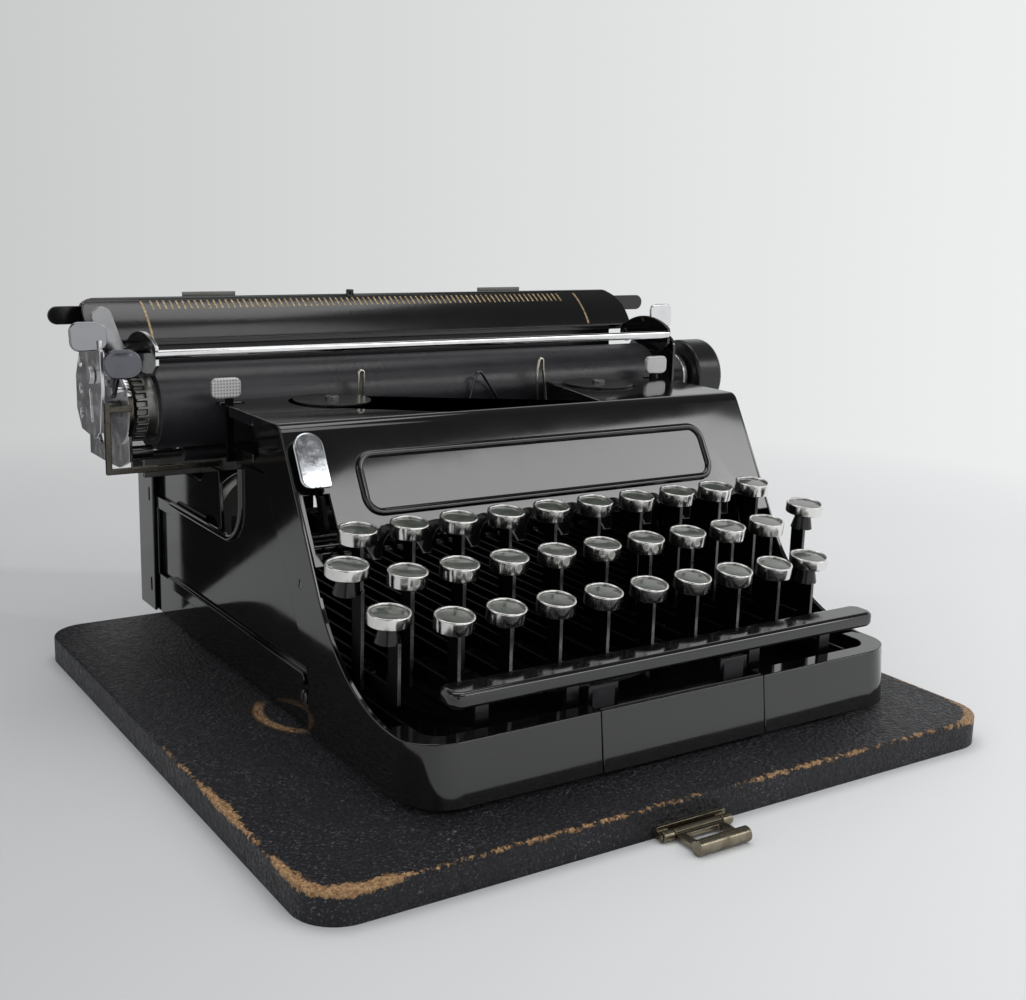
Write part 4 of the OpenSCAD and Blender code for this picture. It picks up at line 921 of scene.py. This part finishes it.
def long_bar(name, section, x0, x1, body, finish):
    """A bar along x whose section is given as (y, z) points in millimetres."""
    count = len(section)
    verts = [at(x, y, z) for x in (x0, x1) for y, z in section]
    faces = [list(range(count)), list(reversed(range(count, 2 * count)))]
    faces += [[i, count + i, count + (i + 1) % count, (i + 1) % count] for i in range(count)]
    piece = mesh_piece(name, verts, faces, body, finish)
    made = bmesh.new()
    made.from_mesh(piece.data)
    bmesh.ops.recalc_face_normals(made, faces=made.faces)
    made.to_mesh(piece.data)
    made.free()
    smooth(piece.data)
    return piece


# Operators


class MakeCasing(Operator):
    """Finishes the casing: shell with its frame line, side plates, rear cover, base and screws."""

    bl_idname = "typewriter.make_casing"
    bl_label = "Casing"

    def execute(self, context):
        radius = settings("pieces").edge_radius
        fine_radius = radius * 0.8
        dressed("front_shell", ["black_enamel"], radius, segments=3, reshape=self.skirt_lean)
        dressed("side_plates", ["black_enamel"], fine_radius)
        dressed("rear_cover", ["black_enamel"], radius)
        dressed("base_pan", ["black_enamel"], fine_radius, reshape=self.skirt_lean)
        self.panel_frame()
        self.opening_lips()
        for side, sign in SIDES:
            for spot, (y, z) in CHEEK_SCREWS.items():
                place = at(sign * (HALF_BODY - 0.4), y, z)
                screw(f"cheek_screw_{side}_{spot}", place, "-X" if sign < 0 else "X", 2.5, 70)
        for x in (-88.0, 88.0):
            for z in (9.0, 52.0):
                screw(f"rear_screw_{int(x)}_{int(z)}", at(x, 177.6, z), "Y", 2.6, 40)
        return {"FINISHED"}

    @staticmethod
    def skirt_lean(point):
        """How far a point of the pressed skirt moves, as the skirt leans back towards its top."""
        share = min(max((SKIRT_BACK - point.y) / SKIRT_FADE, 0), 1)
        height = min(max(point.z, SKIRT_FOOT), SKIRT_TOP) - (SKIRT_FOOT + SKIRT_TOP) / 2
        return Vector((0, SKIRT_LEAN * height * share, 0))

    def opening_lips(self):
        """The rolled lip round each side's opening."""
        lip = [(66.0, 79.5), (66.0, 72.0)] + arc(15.0, 180, 270, 8, (81.0, 66.0)) + [(140.0, 51.0)]
        for side, sign in SIDES:
            line = [at(sign * (HALF_BODY - 1.4), y, z) for y, z in lip]
            rod_piece(f"opening_lip_{side}", line, 1.3 * MM, "machine", "black_enamel", resolution=5)

    def panel_frame(self):
        """A half-round bead pressed round a plain field on the front panel."""
        wide, high, corner, bead = 150.0, 21.0, 6.0, 1.3
        up = Vector((0, math.cos(PANEL_SLOPE), math.sin(PANEL_SLOPE)))
        middle = at(0, panel_y(FIELD_Z), FIELD_Z)
        line = [middle + Vector((x * MM, 0, 0)) + up * (y * MM)
                for x, y in round_rect(wide, high, corner, 10)]
        rod_piece("name_frame_bead", line, bead * MM, "machine", "black_enamel", closed=True, resolution=6)


class MakeBoard(Operator):
    """Finishes the case board, its covering and the hasp."""

    bl_idname = "typewriter.make_board"
    bl_label = "Case board"

    def execute(self, context):
        dressed("case_board", ["board_covering", "aged_nickel"], 1.1 * MM, segments=4,
                choose=lambda middle, normal: 1 if middle.y < BOARD_FRONT - 0.1 else 0, share=self.share)
        dressed("board_hasp", ["aged_nickel"], 0.3 * MM)
        return {"FINISHED"}

    @staticmethod
    def share(middle):
        """The underside stays sharp, because the leaf ends just above it, and the leaf is finer."""
        if middle.z < BOARD_UNDER + 0.3:
            return 0.0
        before_front = middle.y < BOARD_FRONT + 0.1 and middle.z < -1
        return 0.2 if before_front and LEAF_LEFT < middle.x < LEAF_RIGHT else 1.0


class MakeKeys(Operator):
    """Makes the key tops: nickel ring, plain disc under glass, cup and lever."""

    bl_idname = "typewriter.make_keys"
    bl_label = "Keys"

    def execute(self, context):
        for step, (row, (count, y, top, tilt)) in enumerate(ROWS.items()):
            for i in range(count):
                node = f"key_{row}_{i + 1}"
                x = FIRST_KEY_X + step * KEY_PITCH / 3 + i * KEY_PITCH
                self.lever(node, top - PACKED_RING_HEIGHT)
                self.key_top(node, (x, y, top + RING_RISE), RING, tilt)
        for node, places in SHIFT_KEYS.items():
            dressed(node, ["shaded_lever_black", "lever_highlight"], 0.2 * MM, choose=self.front_highlight,
                    keep=lambda middle, normal, rings=places: not self.in_ring(middle, rings))
            for (side, sign), place in zip(SIDES, places):
                self.key_top(node, place, SHIFT_RING, SHIFT_TILT, "_" + side)
        return {"FINISHED"}

    @staticmethod
    def in_ring(middle, places):
        """Tells whether a face of a packed shift key belongs to its ring or the ring's neck."""
        reach, depth = 7.4, 9.75
        return any(math.hypot(middle.x - x, middle.y - y) < reach and middle.z > top - depth
                   for x, y, top in places)

    @staticmethod
    def front_highlight(middle, normal):
        """Painted highlight: the front face of a stem, given a paler metal finish for the bright line along
        it.
        """
        return 1 if normal.y < -0.9 and middle.z > 25 else 0

    def lever(self, node, under_ring):
        """A key's lever and stem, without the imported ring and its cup."""
        dressed(node, ["shaded_lever_black", "lever_highlight"], 0.15 * MM, choose=self.front_highlight,
                keep=lambda middle, normal: middle.z < under_ring - 1.5)

    def key_top(self, node, place, size, tilt, side=""):
        """Cup, ring and glazed disc of a key, leaning towards the typist."""
        radius, height = size
        sides = settings("pieces").ring_sides
        body = body_of(node)
        spot = tilted(at(*place), tilt)
        neck = [(0.0, -height - 1.5), (1.9, -height - 1.5)]
        if side:
            # The wider shift keys stand on a thick neck
            neck = [(0.0, -height - 6.0), (4.1, -height - 6.0), (3.3, -height - 2.6)]
        bowl = [(2.9, -height - 1.1), (radius - 1.9, -height - 0.1), (radius - 0.9, -height + 0.05)]
        turned(node + side + "_cup", neck + bowl, spot, body, "black_satin", sides)
        inner = radius - 2 * RING_LIP
        outline = [(radius - 1.1, -height)] + arc(0.45, -90, 0, 4, (radius - 0.5, -height + 0.45))
        outline += [(radius, -0.75), (radius, -0.5)]
        outline += arc(RING_LIP, 0, 180, 8, (radius - RING_LIP, -RING_LIP))
        outline += [(inner, -0.5), (inner, -1.0)]
        ring = turned(node + side + "_ring", outline, spot, body, "key_nickel", sides)
        glass = [(inner, -0.8)]
        glass += [(inner * math.cos(a), -0.8 + 0.3 * math.sin(a)) for a in (0.3, 0.6, 0.9, 1.2, 1.4)]
        turned(node + side + "_disc", glass + [(0.0, -0.5)], spot, body, "glazed_disc", sides)


class MakeKeyboardParts(Operator):
    """Finishes the space bar, back-space lever, comb and base catches."""

    bl_idname = "typewriter.make_keyboard_parts"
    bl_label = "Keyboard parts"

    def execute(self, context):
        dressed("space_bar", ["black_satin"], 0.3 * MM,
                keep=lambda middle, normal: not (32.2 < middle.z < 37.6 and middle.y < -58.6))
        bar = Matrix.Translation(at(-3.5, -64.2, 34.9))
        rounded_plate("space_bar_top", round_rect(173.0, 11.0, 4.2), 5.2, 1.7, bar, body_of("space_bar"),
                      "black_enamel")
        self.tongue()
        dressed("key_comb", ["blued_steel"], 0.2 * MM)
        self.catches()
        return {"FINISHED"}

    def tongue(self):
        """The back-space lever with its pressed tongue, which lies along the panel."""
        middle_z, lift = 80, 3.3
        dressed("back_space", ["shaded_lever_black"], 0.2 * MM, keep=lambda middle, normal: middle.z < 80.5)
        outline = arc(5.3, 0, 180, 16, (0, 14.4)) + [(-5.3, 4.6)] + arc(3.6, 180, 270, 6, (-1.7, 3.8))
        outline += arc(1.0, 270, 360, 3, (4.3, 1.2))
        place = at(-93.0, panel_y(middle_z), middle_z)
        lean = Matrix.Translation(place) @ Matrix.Rotation(PANEL_SLOPE, 4, "X")
        rounded_plate("back_space_tongue", outline, 1.3, 0.5, lean @ Matrix.Translation((0, 0, lift * MM)),
                      body_of("back_space"), "tongue_chrome")

    def catches(self):
        """The two tabs that let the base go, each with its knurled face."""
        body = body_of("base_catches")
        dressed("base_catches", ["black_satin"], 0.3 * MM,
                keep=lambda middle, normal: not (middle.z > 17 and 21 < abs(middle.x) < 34))
        for side, sign in SIDES:
            face = tilted(at(sign * 27.5, CATCH_Y + 0.75, 21.8), 90)
            rounded_plate(f"catch_{side}", round_rect(12.0, 9.6, 0.9), 1.5, 0.4, face, body, "black_satin")
            rounded_plate(f"catch_{side}_face", round_rect(8.8, 6.4, 0.5), 0.5, 0.15,
                          face @ Matrix.Translation((0, 0, 0.62 * MM)), body, "knurled_steel")


class MakeTypeAction(Operator):
    """Finishes the type segment, the typebars, the ribbon carrier and the spools."""

    bl_idname = "typewriter.make_type_action"
    bl_label = "Type action"

    def execute(self, context):
        dressed("type_segment", ["oiled_steel"], 0.15 * MM, keep=lambda middle, normal: abs(middle.x) < 38)
        for node in ("typebars", "typebar_centre"):
            dressed(node, ["oiled_steel"], 0.12 * MM)
        self.vibrator()
        self.hairpins()
        dressed("ribbon_reverse", ["shaded_lever_black"], 0.2 * MM)
        for side, sign in SIDES:
            face = tilted(at(sign * 98.5, 79.3, 106.6), 90)
            rounded_plate("ribbon_tab_" + side, round_rect(11.0, 7.4, 2.2), 2.0, 0.5, face,
                          body_of("ribbon_reverse"), "dimpled_tab")
        for side, sign in SIDES:
            self.spool("ribbon_spool_" + side, sign * SPOOL_X)
        return {"FINISHED"}

    def vibrator(self):
        """The ribbon carrier's foot and the bent wire above it."""
        dressed("ribbon_vibrator", ["blued_steel"], 0.15 * MM, keep=lambda middle, normal: middle.z < 80.5)
        wire = [(5.4, 79), (5.9, 86), (7.4, 93), (10.4, 104.6), (11.2, 106.0), (12.3, 106.7), (13.4, 106.1),
                (14.6, 104.4), (20.2, 96.9), (21.0, 95.2), (21.0, 93.2), (20.6, 90), (20.5, 79)]
        rod_piece("vibrator_wire", [at(x, 85.6, z) for x, z in wire], WIRE_RADIUS,
                  body_of("ribbon_vibrator"), "wire_steel", resolution=3)

    def hairpins(self):
        """Spring wires beside the print point: one upright, one bent aside with a splayed leg."""
        low = 68.8
        left = [(-43.4, low), (-43.5, 95), (-43.5, 108.6)] + arc(1.0, 180, 0, 6, (-42.5, 108.9))
        left += [(-41.5, 95), (-41.5, low)]
        right = [(43.4, low), (43.2, 94), (42.6, 101), (41.6, 107.5)] + arc(0.9, 10, 170, 6, (40.6, 110.2))
        right += [(39.0, 107.0), (38.6, 101.5), (39.6, 96), (41.4, low)]
        for side, line in (("left", left), ("right", right)):
            rod_piece("hairpin_" + side, [at(x, 83, z) for x, z in line], WIRE_RADIUS,
                      body_of("type_segment"), "wire_nickel", resolution=3)

    def spool(self, node, x):
        """A ribbon spool with its wound cloth and the nut on its spindle."""

        def wound(middle, normal):
            """1 for the side of the wound cloth between the two flanges."""
            away = math.hypot(middle.x - x, middle.y - SPOOL_Y)
            return 1 if 9 < away < 13.0 and abs(normal.z) < 0.5 and 86 < middle.z < 102 else 0

        dressed(node, ["black_satin", "inked_cloth"], 0.2 * MM, choose=wound)
        nut = [(2.6, 0.0), (2.6, 1.0), (2.2, 1.4), (0.9, 1.4), (0.9, 0.9), (0.0, 0.9)]
        turned(node + "_nut", nut, standing(at(x, SPOOL_Y, 101.7), "Z"), body_of(node), "oiled_steel", 24)


class MakeFrame(Operator):
    """Finishes the inner frame, the mainspring drum and the carriage truck."""

    bl_idname = "typewriter.make_frame"
    bl_label = "Inner frame"

    def execute(self, context):
        dressed("main_frame", ["black_enamel", "oiled_steel"], 0.3 * MM,
                choose=lambda middle, normal: 1 if self.bright(middle) else 0)
        dressed("mainspring_drum", ["oiled_steel"], 0.3 * MM)
        dressed("carriage_truck", ["oiled_steel"], 0.3 * MM)
        return {"FINISHED"}

    @staticmethod
    def bright(middle):
        """Tells the carriage's rail and the lever rod, which are bare steel."""
        on_rail = 126.9 < middle.y < 133.1 and middle.z > 65.9
        on_rod = abs(middle.x) < 95 and 115 < middle.y < 121 and middle.z < 30
        return on_rail or on_rod


class MakeCarriage(Operator):
    """Finishes the carriage: platen, end plates, paper table, bail, levers and stops."""

    bl_idname = "typewriter.make_carriage"
    bl_label = "Carriage"

    def execute(self, context):
        dressed("platen_frame", ["black_enamel", "strap_metal", "mottled_nickel", "platen_rubber"],
                0.3 * MM, choose=self.frame_finish)
        dressed("platen", ["platen_rubber", "oiled_steel", "collar_chrome"], 0.35 * MM,
                choose=self.platen_finish)
        self.knob()
        dressed("paper_table", ["table_black"], 0.3 * MM)
        self.bail()
        self.thumb_tabs()
        dressed("carriage_release", ["dull_nickel"], 0.3 * MM, segments=3)
        for side, sign in SIDES:
            dressed("margin_stop_" + side, ["oiled_steel"], 0.2 * MM)
        self.scale_lines()
        return {"FINISHED"}

    @staticmethod
    def frame_finish(middle, normal):
        """Tells the strap at the left, the left end plate and the feed rollers from the rest."""
        if middle.x < -95 and middle.y < 92.1 and middle.z < 103:
            return 1
        if middle.x < -129.7:
            return 2
        away = math.hypot(middle.y - FEED_Y, middle.z - FEED_Z)
        return 3 if away < 3.8 and -118 < middle.x < 110 else 0

    @staticmethod
    def platen_finish(middle, normal):
        """Tells the rubber, the collar at the right and the steel ends."""
        if -119.6 < middle.x < 107.2:
            return 0
        return 2 if middle.x > 125 else 1

    def bail(self):
        """The bail's arms and, in place of its flat strip, one with a round front."""
        # Painted reflection: the right arm is black enamel, for the dark platen that its inner face
        # reflects
        dressed("paper_bail", ["chrome_plate", "black_enamel"], 0.3 * MM,
                choose=lambda middle, normal: 1 if middle.x > 100 else 0,
                keep=lambda middle, normal: not (85.9 < middle.y < 87.4 and -119 < middle.x < 109))
        section = [(86.9 + 0.55 * y, 118.5 + z) for y, z in arc(1.6, 90, 270, 12)]
        section += [(87.2, 116.9), (87.2, 120.1)]
        long_bar("paper_bail_strip", section, -121.7, 111.3, body_of("paper_bail"), "chrome_plate")

    def thumb_tabs(self):
        """The levers at the carriage's ends, each with a swollen thumb pad."""
        # Place, lean in degrees, width, depth and corner of the pad, finish of lever and pad
        tabs = {
            "paper_release": (
                at(PLATEN_RIGHT + 17.4, 110.2, 124.6), 86, (12, 10.4, 2.6), "chrome_plate", "chrome_plate"),
            "line_space_lever": (
                at(PLATEN_LEFT - 22.1, 99.3, 124.3), 82, (13.2, 10.4, 3.4), "mottled_nickel", "pad_chrome"),
            "ratchet_release": (
                at(PLATEN_LEFT - 12.9, 90.4, 115.1), 78, (14, 10.4, 5), "smoked_chrome", "smoked_chrome"),
        }
        for node, (place, lean, (wide, deep, corner), finish, pad) in tabs.items():
            face = tilted(place, lean)
            dressed(node, [finish], 0.3 * MM, segments=3, keep=tab_keep(face, wide, deep))
            rounded_plate(node + "_pad", round_rect(wide, deep, corner - 0.01), 1.5, 0.6,
                          face @ Matrix.Translation((0, 0, 0.7 * MM)), body_of(node), pad, dome=0.45)

    def knob(self):
        """A turned black knob with a rolled outer rim and a sunk face."""
        low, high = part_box("platen_knob")
        radius = (high.z - low.z) / 2 / MM
        long = (high.x - low.x) / MM
        outline = [(0.0, 0.0), (radius - 1.6, 0.0)] + arc(1.6, -90, 0, 5, (radius - 1.6, 1.6))
        outline += [(radius, 2.0), (radius, long - 2.6)] + arc(2.2, 0, 90, 6, (radius - 2.2, long - 2.2))
        outline += [(radius - 4.2, long), (radius - 4.8, long - 0.5), (radius - 5.0, long - 1.0)]
        outline += [(5.2, long - 1.0), (4.8, long - 0.6), (0.0, long - 0.2)]
        centre = (low + high) / 2
        place = standing(Vector((low.x, centre.y, centre.z)), "X")
        piece = turned("platen_knob_finish", outline, place, body_of("platen_knob"), "knob_black", 64)
        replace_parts(piece, "platen_knob")

    def scale_lines(self):
        """Gilt ticks along the table's top edge and a thin border line at each end."""
        rise = 0.06
        first_x, pitch, half_tick, half_border = -106.2, 2.54, 0.38, 0.45
        start, tick_end = 28.5, 37.0
        verts, faces = [], []

        def strip(x, half, end, steps=4):
            """A line round the table's curve from the start to an angle in degrees."""
            first = len(verts)
            for i in range(steps + 1):
                a = math.radians(start + (end - start) * i / steps)
                y = TABLE_MIDDLE[0] - (TABLE_RADIUS + rise) * math.sin(a)
                z = TABLE_MIDDLE[1] + (TABLE_RADIUS + rise) * math.cos(a)
                verts.extend((at(x - half, y, z), at(x + half, y, z)))
            for i in range(steps):
                k = first + 2 * i
                faces.append((k, k + 1, k + 3, k + 2))

        for i in range(settings("pieces").scale_ticks):
            strip(first_x + pitch * i, half_tick, tick_end)
        for x, border_end in ((-110.0, 70.0), (94.0, 58.0)):
            strip(x, half_border, border_end, 14)
        mesh_piece("table_scale", verts, faces, "platen_lift", "gilt_paint")


class MakeStage(Operator):
    """Sets the floor, the wall, the lamps and the camera."""

    bl_idname = "typewriter.make_stage"
    bl_label = "Stage"

    def execute(self, context):
        self.floor()
        self.lamps()
        self.camera()
        context.scene.view_settings.view_transform = "Standard"
        return {"FINISHED"}

    def floor(self):
        """A pale floor that fades into the wall's shade far from the machine. Its colour carries painted
        light, lighter towards the camera's right, and painted shade at the left.
        """
        t, shader = material("stage_floor", (0.72, 0.72, 0.72), Roughness=0.6, Specular_IOR_Level=0.2)
        place = t.add("ShaderNodeNewGeometry").outputs["Position"]
        flat = t.vector("MULTIPLY", t.vector("SUBTRACT", place, VIEWPOINT), (1, 1, 0))
        away = t.vector("DOT_PRODUCT", flat, flat)
        softened = t.maths("SQRT", t.maths("ADD", away, 0.09))
        across = t.maths("DIVIDE", t.vector("DOT_PRODUCT", flat, ACROSS), softened)
        wall = group(t, "backdrop", {"Across": across})["Colour"]
        ahead = t.vector("DOT_PRODUCT", flat, AHEAD)
        # Painted shade: at the left the floor is painted a little dimmer up to the line where the wall
        # begins
        near = t.ramp(ahead, 0.42, 0.655, 1.05, 0.9)
        tone = t.mix(t.ramp(across, -0.1, 0.3), t.mix(near, (0, 0, 0), wall), wall)
        beyond = t.ramp(ahead, 0.645, 0.66)
        t.link(t.mix(beyond, tone, wall), shader["Base Color"])
        t.link(t.ramp(t.noise(1.3, 2), 0.3, 0.7, 0.55, 0.65), shader["Roughness"])
        far = t.ramp(t.vector("LENGTH", place), 0.40, 0.62)
        nodes = t.tree.nodes
        glow = t.add("ShaderNodeEmission", {"Strength": 1.0})
        t.link(wall, glow.inputs["Color"])
        blend = t.add("ShaderNodeMixShader")
        t.link(t.maths("MULTIPLY", far, self.seen(t)), blend.inputs[0])
        t.link(nodes["Principled BSDF"].outputs[0], blend.inputs[1])
        t.link(glow.outputs[0], blend.inputs[2])
        t.link(blend.outputs[0], nodes["Material Output"].inputs["Surface"])
        size = 6.0
        mesh = bpy.data.meshes.new("stage_floor")
        low = cad_low.z - 0.02 * MM
        mesh.from_pydata([(-size, -size, low), (size, -size, low), (size, size, low), (-size, size, low)],
                         [], [(0, 1, 2, 3)])
        mesh.materials.append(MATERIALS["stage_floor"])
        floor = bpy.data.objects.new("stage_floor", mesh)
        bpy.context.scene.collection.objects.link(floor)

    @staticmethod
    def seen(t):
        """1 for the rays that see the background itself, in the picture, metal or glass."""
        path = t.add("ShaderNodeLightPath").outputs
        return t.maths("MAXIMUM", path["Is Camera Ray"],
                       t.maths("MAXIMUM", path["Is Glossy Ray"], path["Is Transmission Ray"]))

    def lamps(self):
        given = settings("stage")
        world = bpy.data.worlds.new("studio")
        world.use_nodes = True
        t = Tree(world.node_tree)
        nodes = world.node_tree.nodes
        light = nodes["Background"]
        light.inputs["Color"].default_value = (0.98, 0.99, 1.0, 1)
        light.inputs["Strength"].default_value = given.room_light
        direction = t.add("ShaderNodeTexCoord").outputs["Generated"]
        flat = t.vector("NORMALIZE", t.vector("MULTIPLY", direction, (1, 1, 0)))
        across = t.vector("DOT_PRODUCT", flat, ACROSS)
        wall = group(t, "backdrop", {"Across": across})["Colour"]
        # The wall ends in a dim ceiling, which only reflections show
        height = t.split(direction)["Z"]
        shade = t.mix(t.ramp(height, 0.46, 0.6), wall, (given.ceiling, given.ceiling, given.ceiling))
        seen = t.add("ShaderNodeBackground", {"Strength": 1.0})
        t.link(shade, seen.inputs["Color"])
        blend = t.add("ShaderNodeMixShader")
        t.link(self.seen(t), blend.inputs[0])
        t.link(light.outputs[0], blend.inputs[1])
        t.link(seen.outputs[0], blend.inputs[2])
        t.link(blend.outputs[0], nodes["World Output"].inputs["Surface"])
        bpy.context.scene.world = world
        # Name, bearing in degrees to the right of the front, elevation, roll, distance, face, brightness
        lamps = (
            ("key_lamp", 42.9, 33.9, -24.0, 1.4, (0.8, 0.26), 1.0),
            ("front_lamp", 20.0, 62.0, 0.0, 1.5, (0.9, 0.5), 0.45),
            ("top_lamp", 160.0, 74.0, 0.0, 1.4, (1.1, 0.7), 0.55),
            ("left_lamp", -95.0, 33.0, 0.0, 1.5, (0.5, 0.3), 0.35),
        )
        middle = at(0, 15, 80)
        for name, bearing, elevation, roll, distance, (wide, high), share in lamps:
            lamp = bpy.data.lights.new(name, "AREA")
            lamp.shape = "RECTANGLE"
            lamp.size = wide
            lamp.size_y = high
            lamp.energy = given.soft_light * share * math.pi * wide * high
            obj = bpy.data.objects.new(name, lamp)
            side, rise = math.radians(bearing), math.radians(elevation)
            level = math.cos(rise)
            way = Vector((math.sin(side) * level, -math.cos(side) * level, math.sin(rise)))
            turn = (-way).to_track_quat("-Z", "Y").to_matrix().to_4x4()
            obj.matrix_world = (Matrix.Translation(middle + way * distance) @ turn
                                @ Matrix.Rotation(math.radians(roll), 4, "Z"))
            obj.visible_camera = False
            bpy.context.scene.collection.objects.link(obj)
        self.dark_cards()

    def dark_cards(self):
        """Dark cards behind the left side and behind the camera, which only reflections see."""
        t, shader = material("stage_card", (0.02, 0.018, 0.018), Roughness=1.0, Specular_IOR_Level=0.0)
        t.link(t.mix(t.noise(6, 2), (0.02, 0.018, 0.018), (0.028, 0.024, 0.022)), shader["Base Color"])
        behind = VIEWPOINT - AHEAD * 0.3
        cards = {
            "side": (at(-120, 192, 0), at(-330, 430, 0), 0.16),
            "camera": (behind - ACROSS * 0.13, behind + ACROSS * 0.13, 0.35),
        }
        for name, (start, end, high) in cards.items():
            start.z = end.z = cad_low.z
            rise = Vector((0, 0, high))
            mesh = bpy.data.meshes.new("stage_card_" + name)
            mesh.from_pydata([tuple(v) for v in (start, end, end + rise, start + rise)], [], [(0, 1, 2, 3)])
            mesh.materials.append(MATERIALS["stage_card"])
            card = bpy.data.objects.new("stage_card_" + name, mesh)
            card.visible_camera = False
            card.visible_diffuse = False
            card.visible_shadow = False
            bpy.context.scene.collection.objects.link(card)

    def camera(self):
        """The camera at the photograph's viewpoint, with its turn, tip and roll in radians."""
        turn, tip, roll = VIEW_TURN, 0.2201, 0.0291
        # Focal length and width of the picture, both in its pixels
        focal, frame_wide = 1374.2, 1026
        forward = Vector((-math.sin(turn) * math.cos(tip), math.cos(turn) * math.cos(tip), -math.sin(tip)))
        right = forward.cross(Vector((0, 0, 1))).normalized()
        up = right.cross(forward)
        across = right * math.cos(roll) + up * math.sin(roll)
        above = up * math.cos(roll) - right * math.sin(roll)
        lens = bpy.data.cameras.new("photo_camera")
        lens.sensor_fit = "HORIZONTAL"
        lens.sensor_width = 36.0
        lens.lens = focal / frame_wide * lens.sensor_width
        lens.clip_start = 0.01
        camera = bpy.data.objects.new("photo_camera", lens)
        axes = Matrix((across, above, -forward)).transposed().to_4x4()
        camera.matrix_world = Matrix.Translation(VIEWPOINT) @ axes
        bpy.context.scene.collection.objects.link(camera)
        bpy.context.scene.camera = camera


STEPS = (MakeStage, MakeCasing, MakeBoard, MakeKeys, MakeKeyboardParts, MakeTypeAction, MakeFrame,
         MakeCarriage)


class TypewriterPanel(Panel):
    """Lists the steps that build the typewriter."""

    bl_idname = "VIEW3D_PT_typewriter"
    bl_label = "Typewriter"
    bl_space_type = "VIEW_3D"
    bl_region_type = "UI"
    bl_category = "Typewriter"

    def draw(self, context):
        for name in SETTINGS:
            box = self.layout.box()
            group_of_settings = getattr(context.scene, name)
            for label in group_of_settings.bl_rna.properties.keys():
                if label not in ("rna_type", "name"):
                    box.prop(group_of_settings, label)
        for step in STEPS:
            self.layout.operator(step.bl_idname)


CLASSES = (*SETTINGS.values(), *STEPS, TypewriterPanel)


def register():
    for item in CLASSES:
        bpy.utils.register_class(item)
    for name, kind in SETTINGS.items():
        setattr(bpy.types.Scene, name, PointerProperty(type=kind))


def unregister():
    for name in SETTINGS:
        delattr(bpy.types.Scene, name)
    for item in reversed(CLASSES):
        bpy.utils.unregister_class(item)


def main():
    """Builds everything in order."""
    register()
    make_materials()
    bpy.ops.typewriter.make_stage()
    bpy.ops.typewriter.make_casing()
    bpy.ops.typewriter.make_board()
    bpy.ops.typewriter.make_keys()
    bpy.ops.typewriter.make_keyboard_parts()
    bpy.ops.typewriter.make_type_action()
    bpy.ops.typewriter.make_frame()
    bpy.ops.typewriter.make_carriage()


if __name__ == "__main__":
    main()
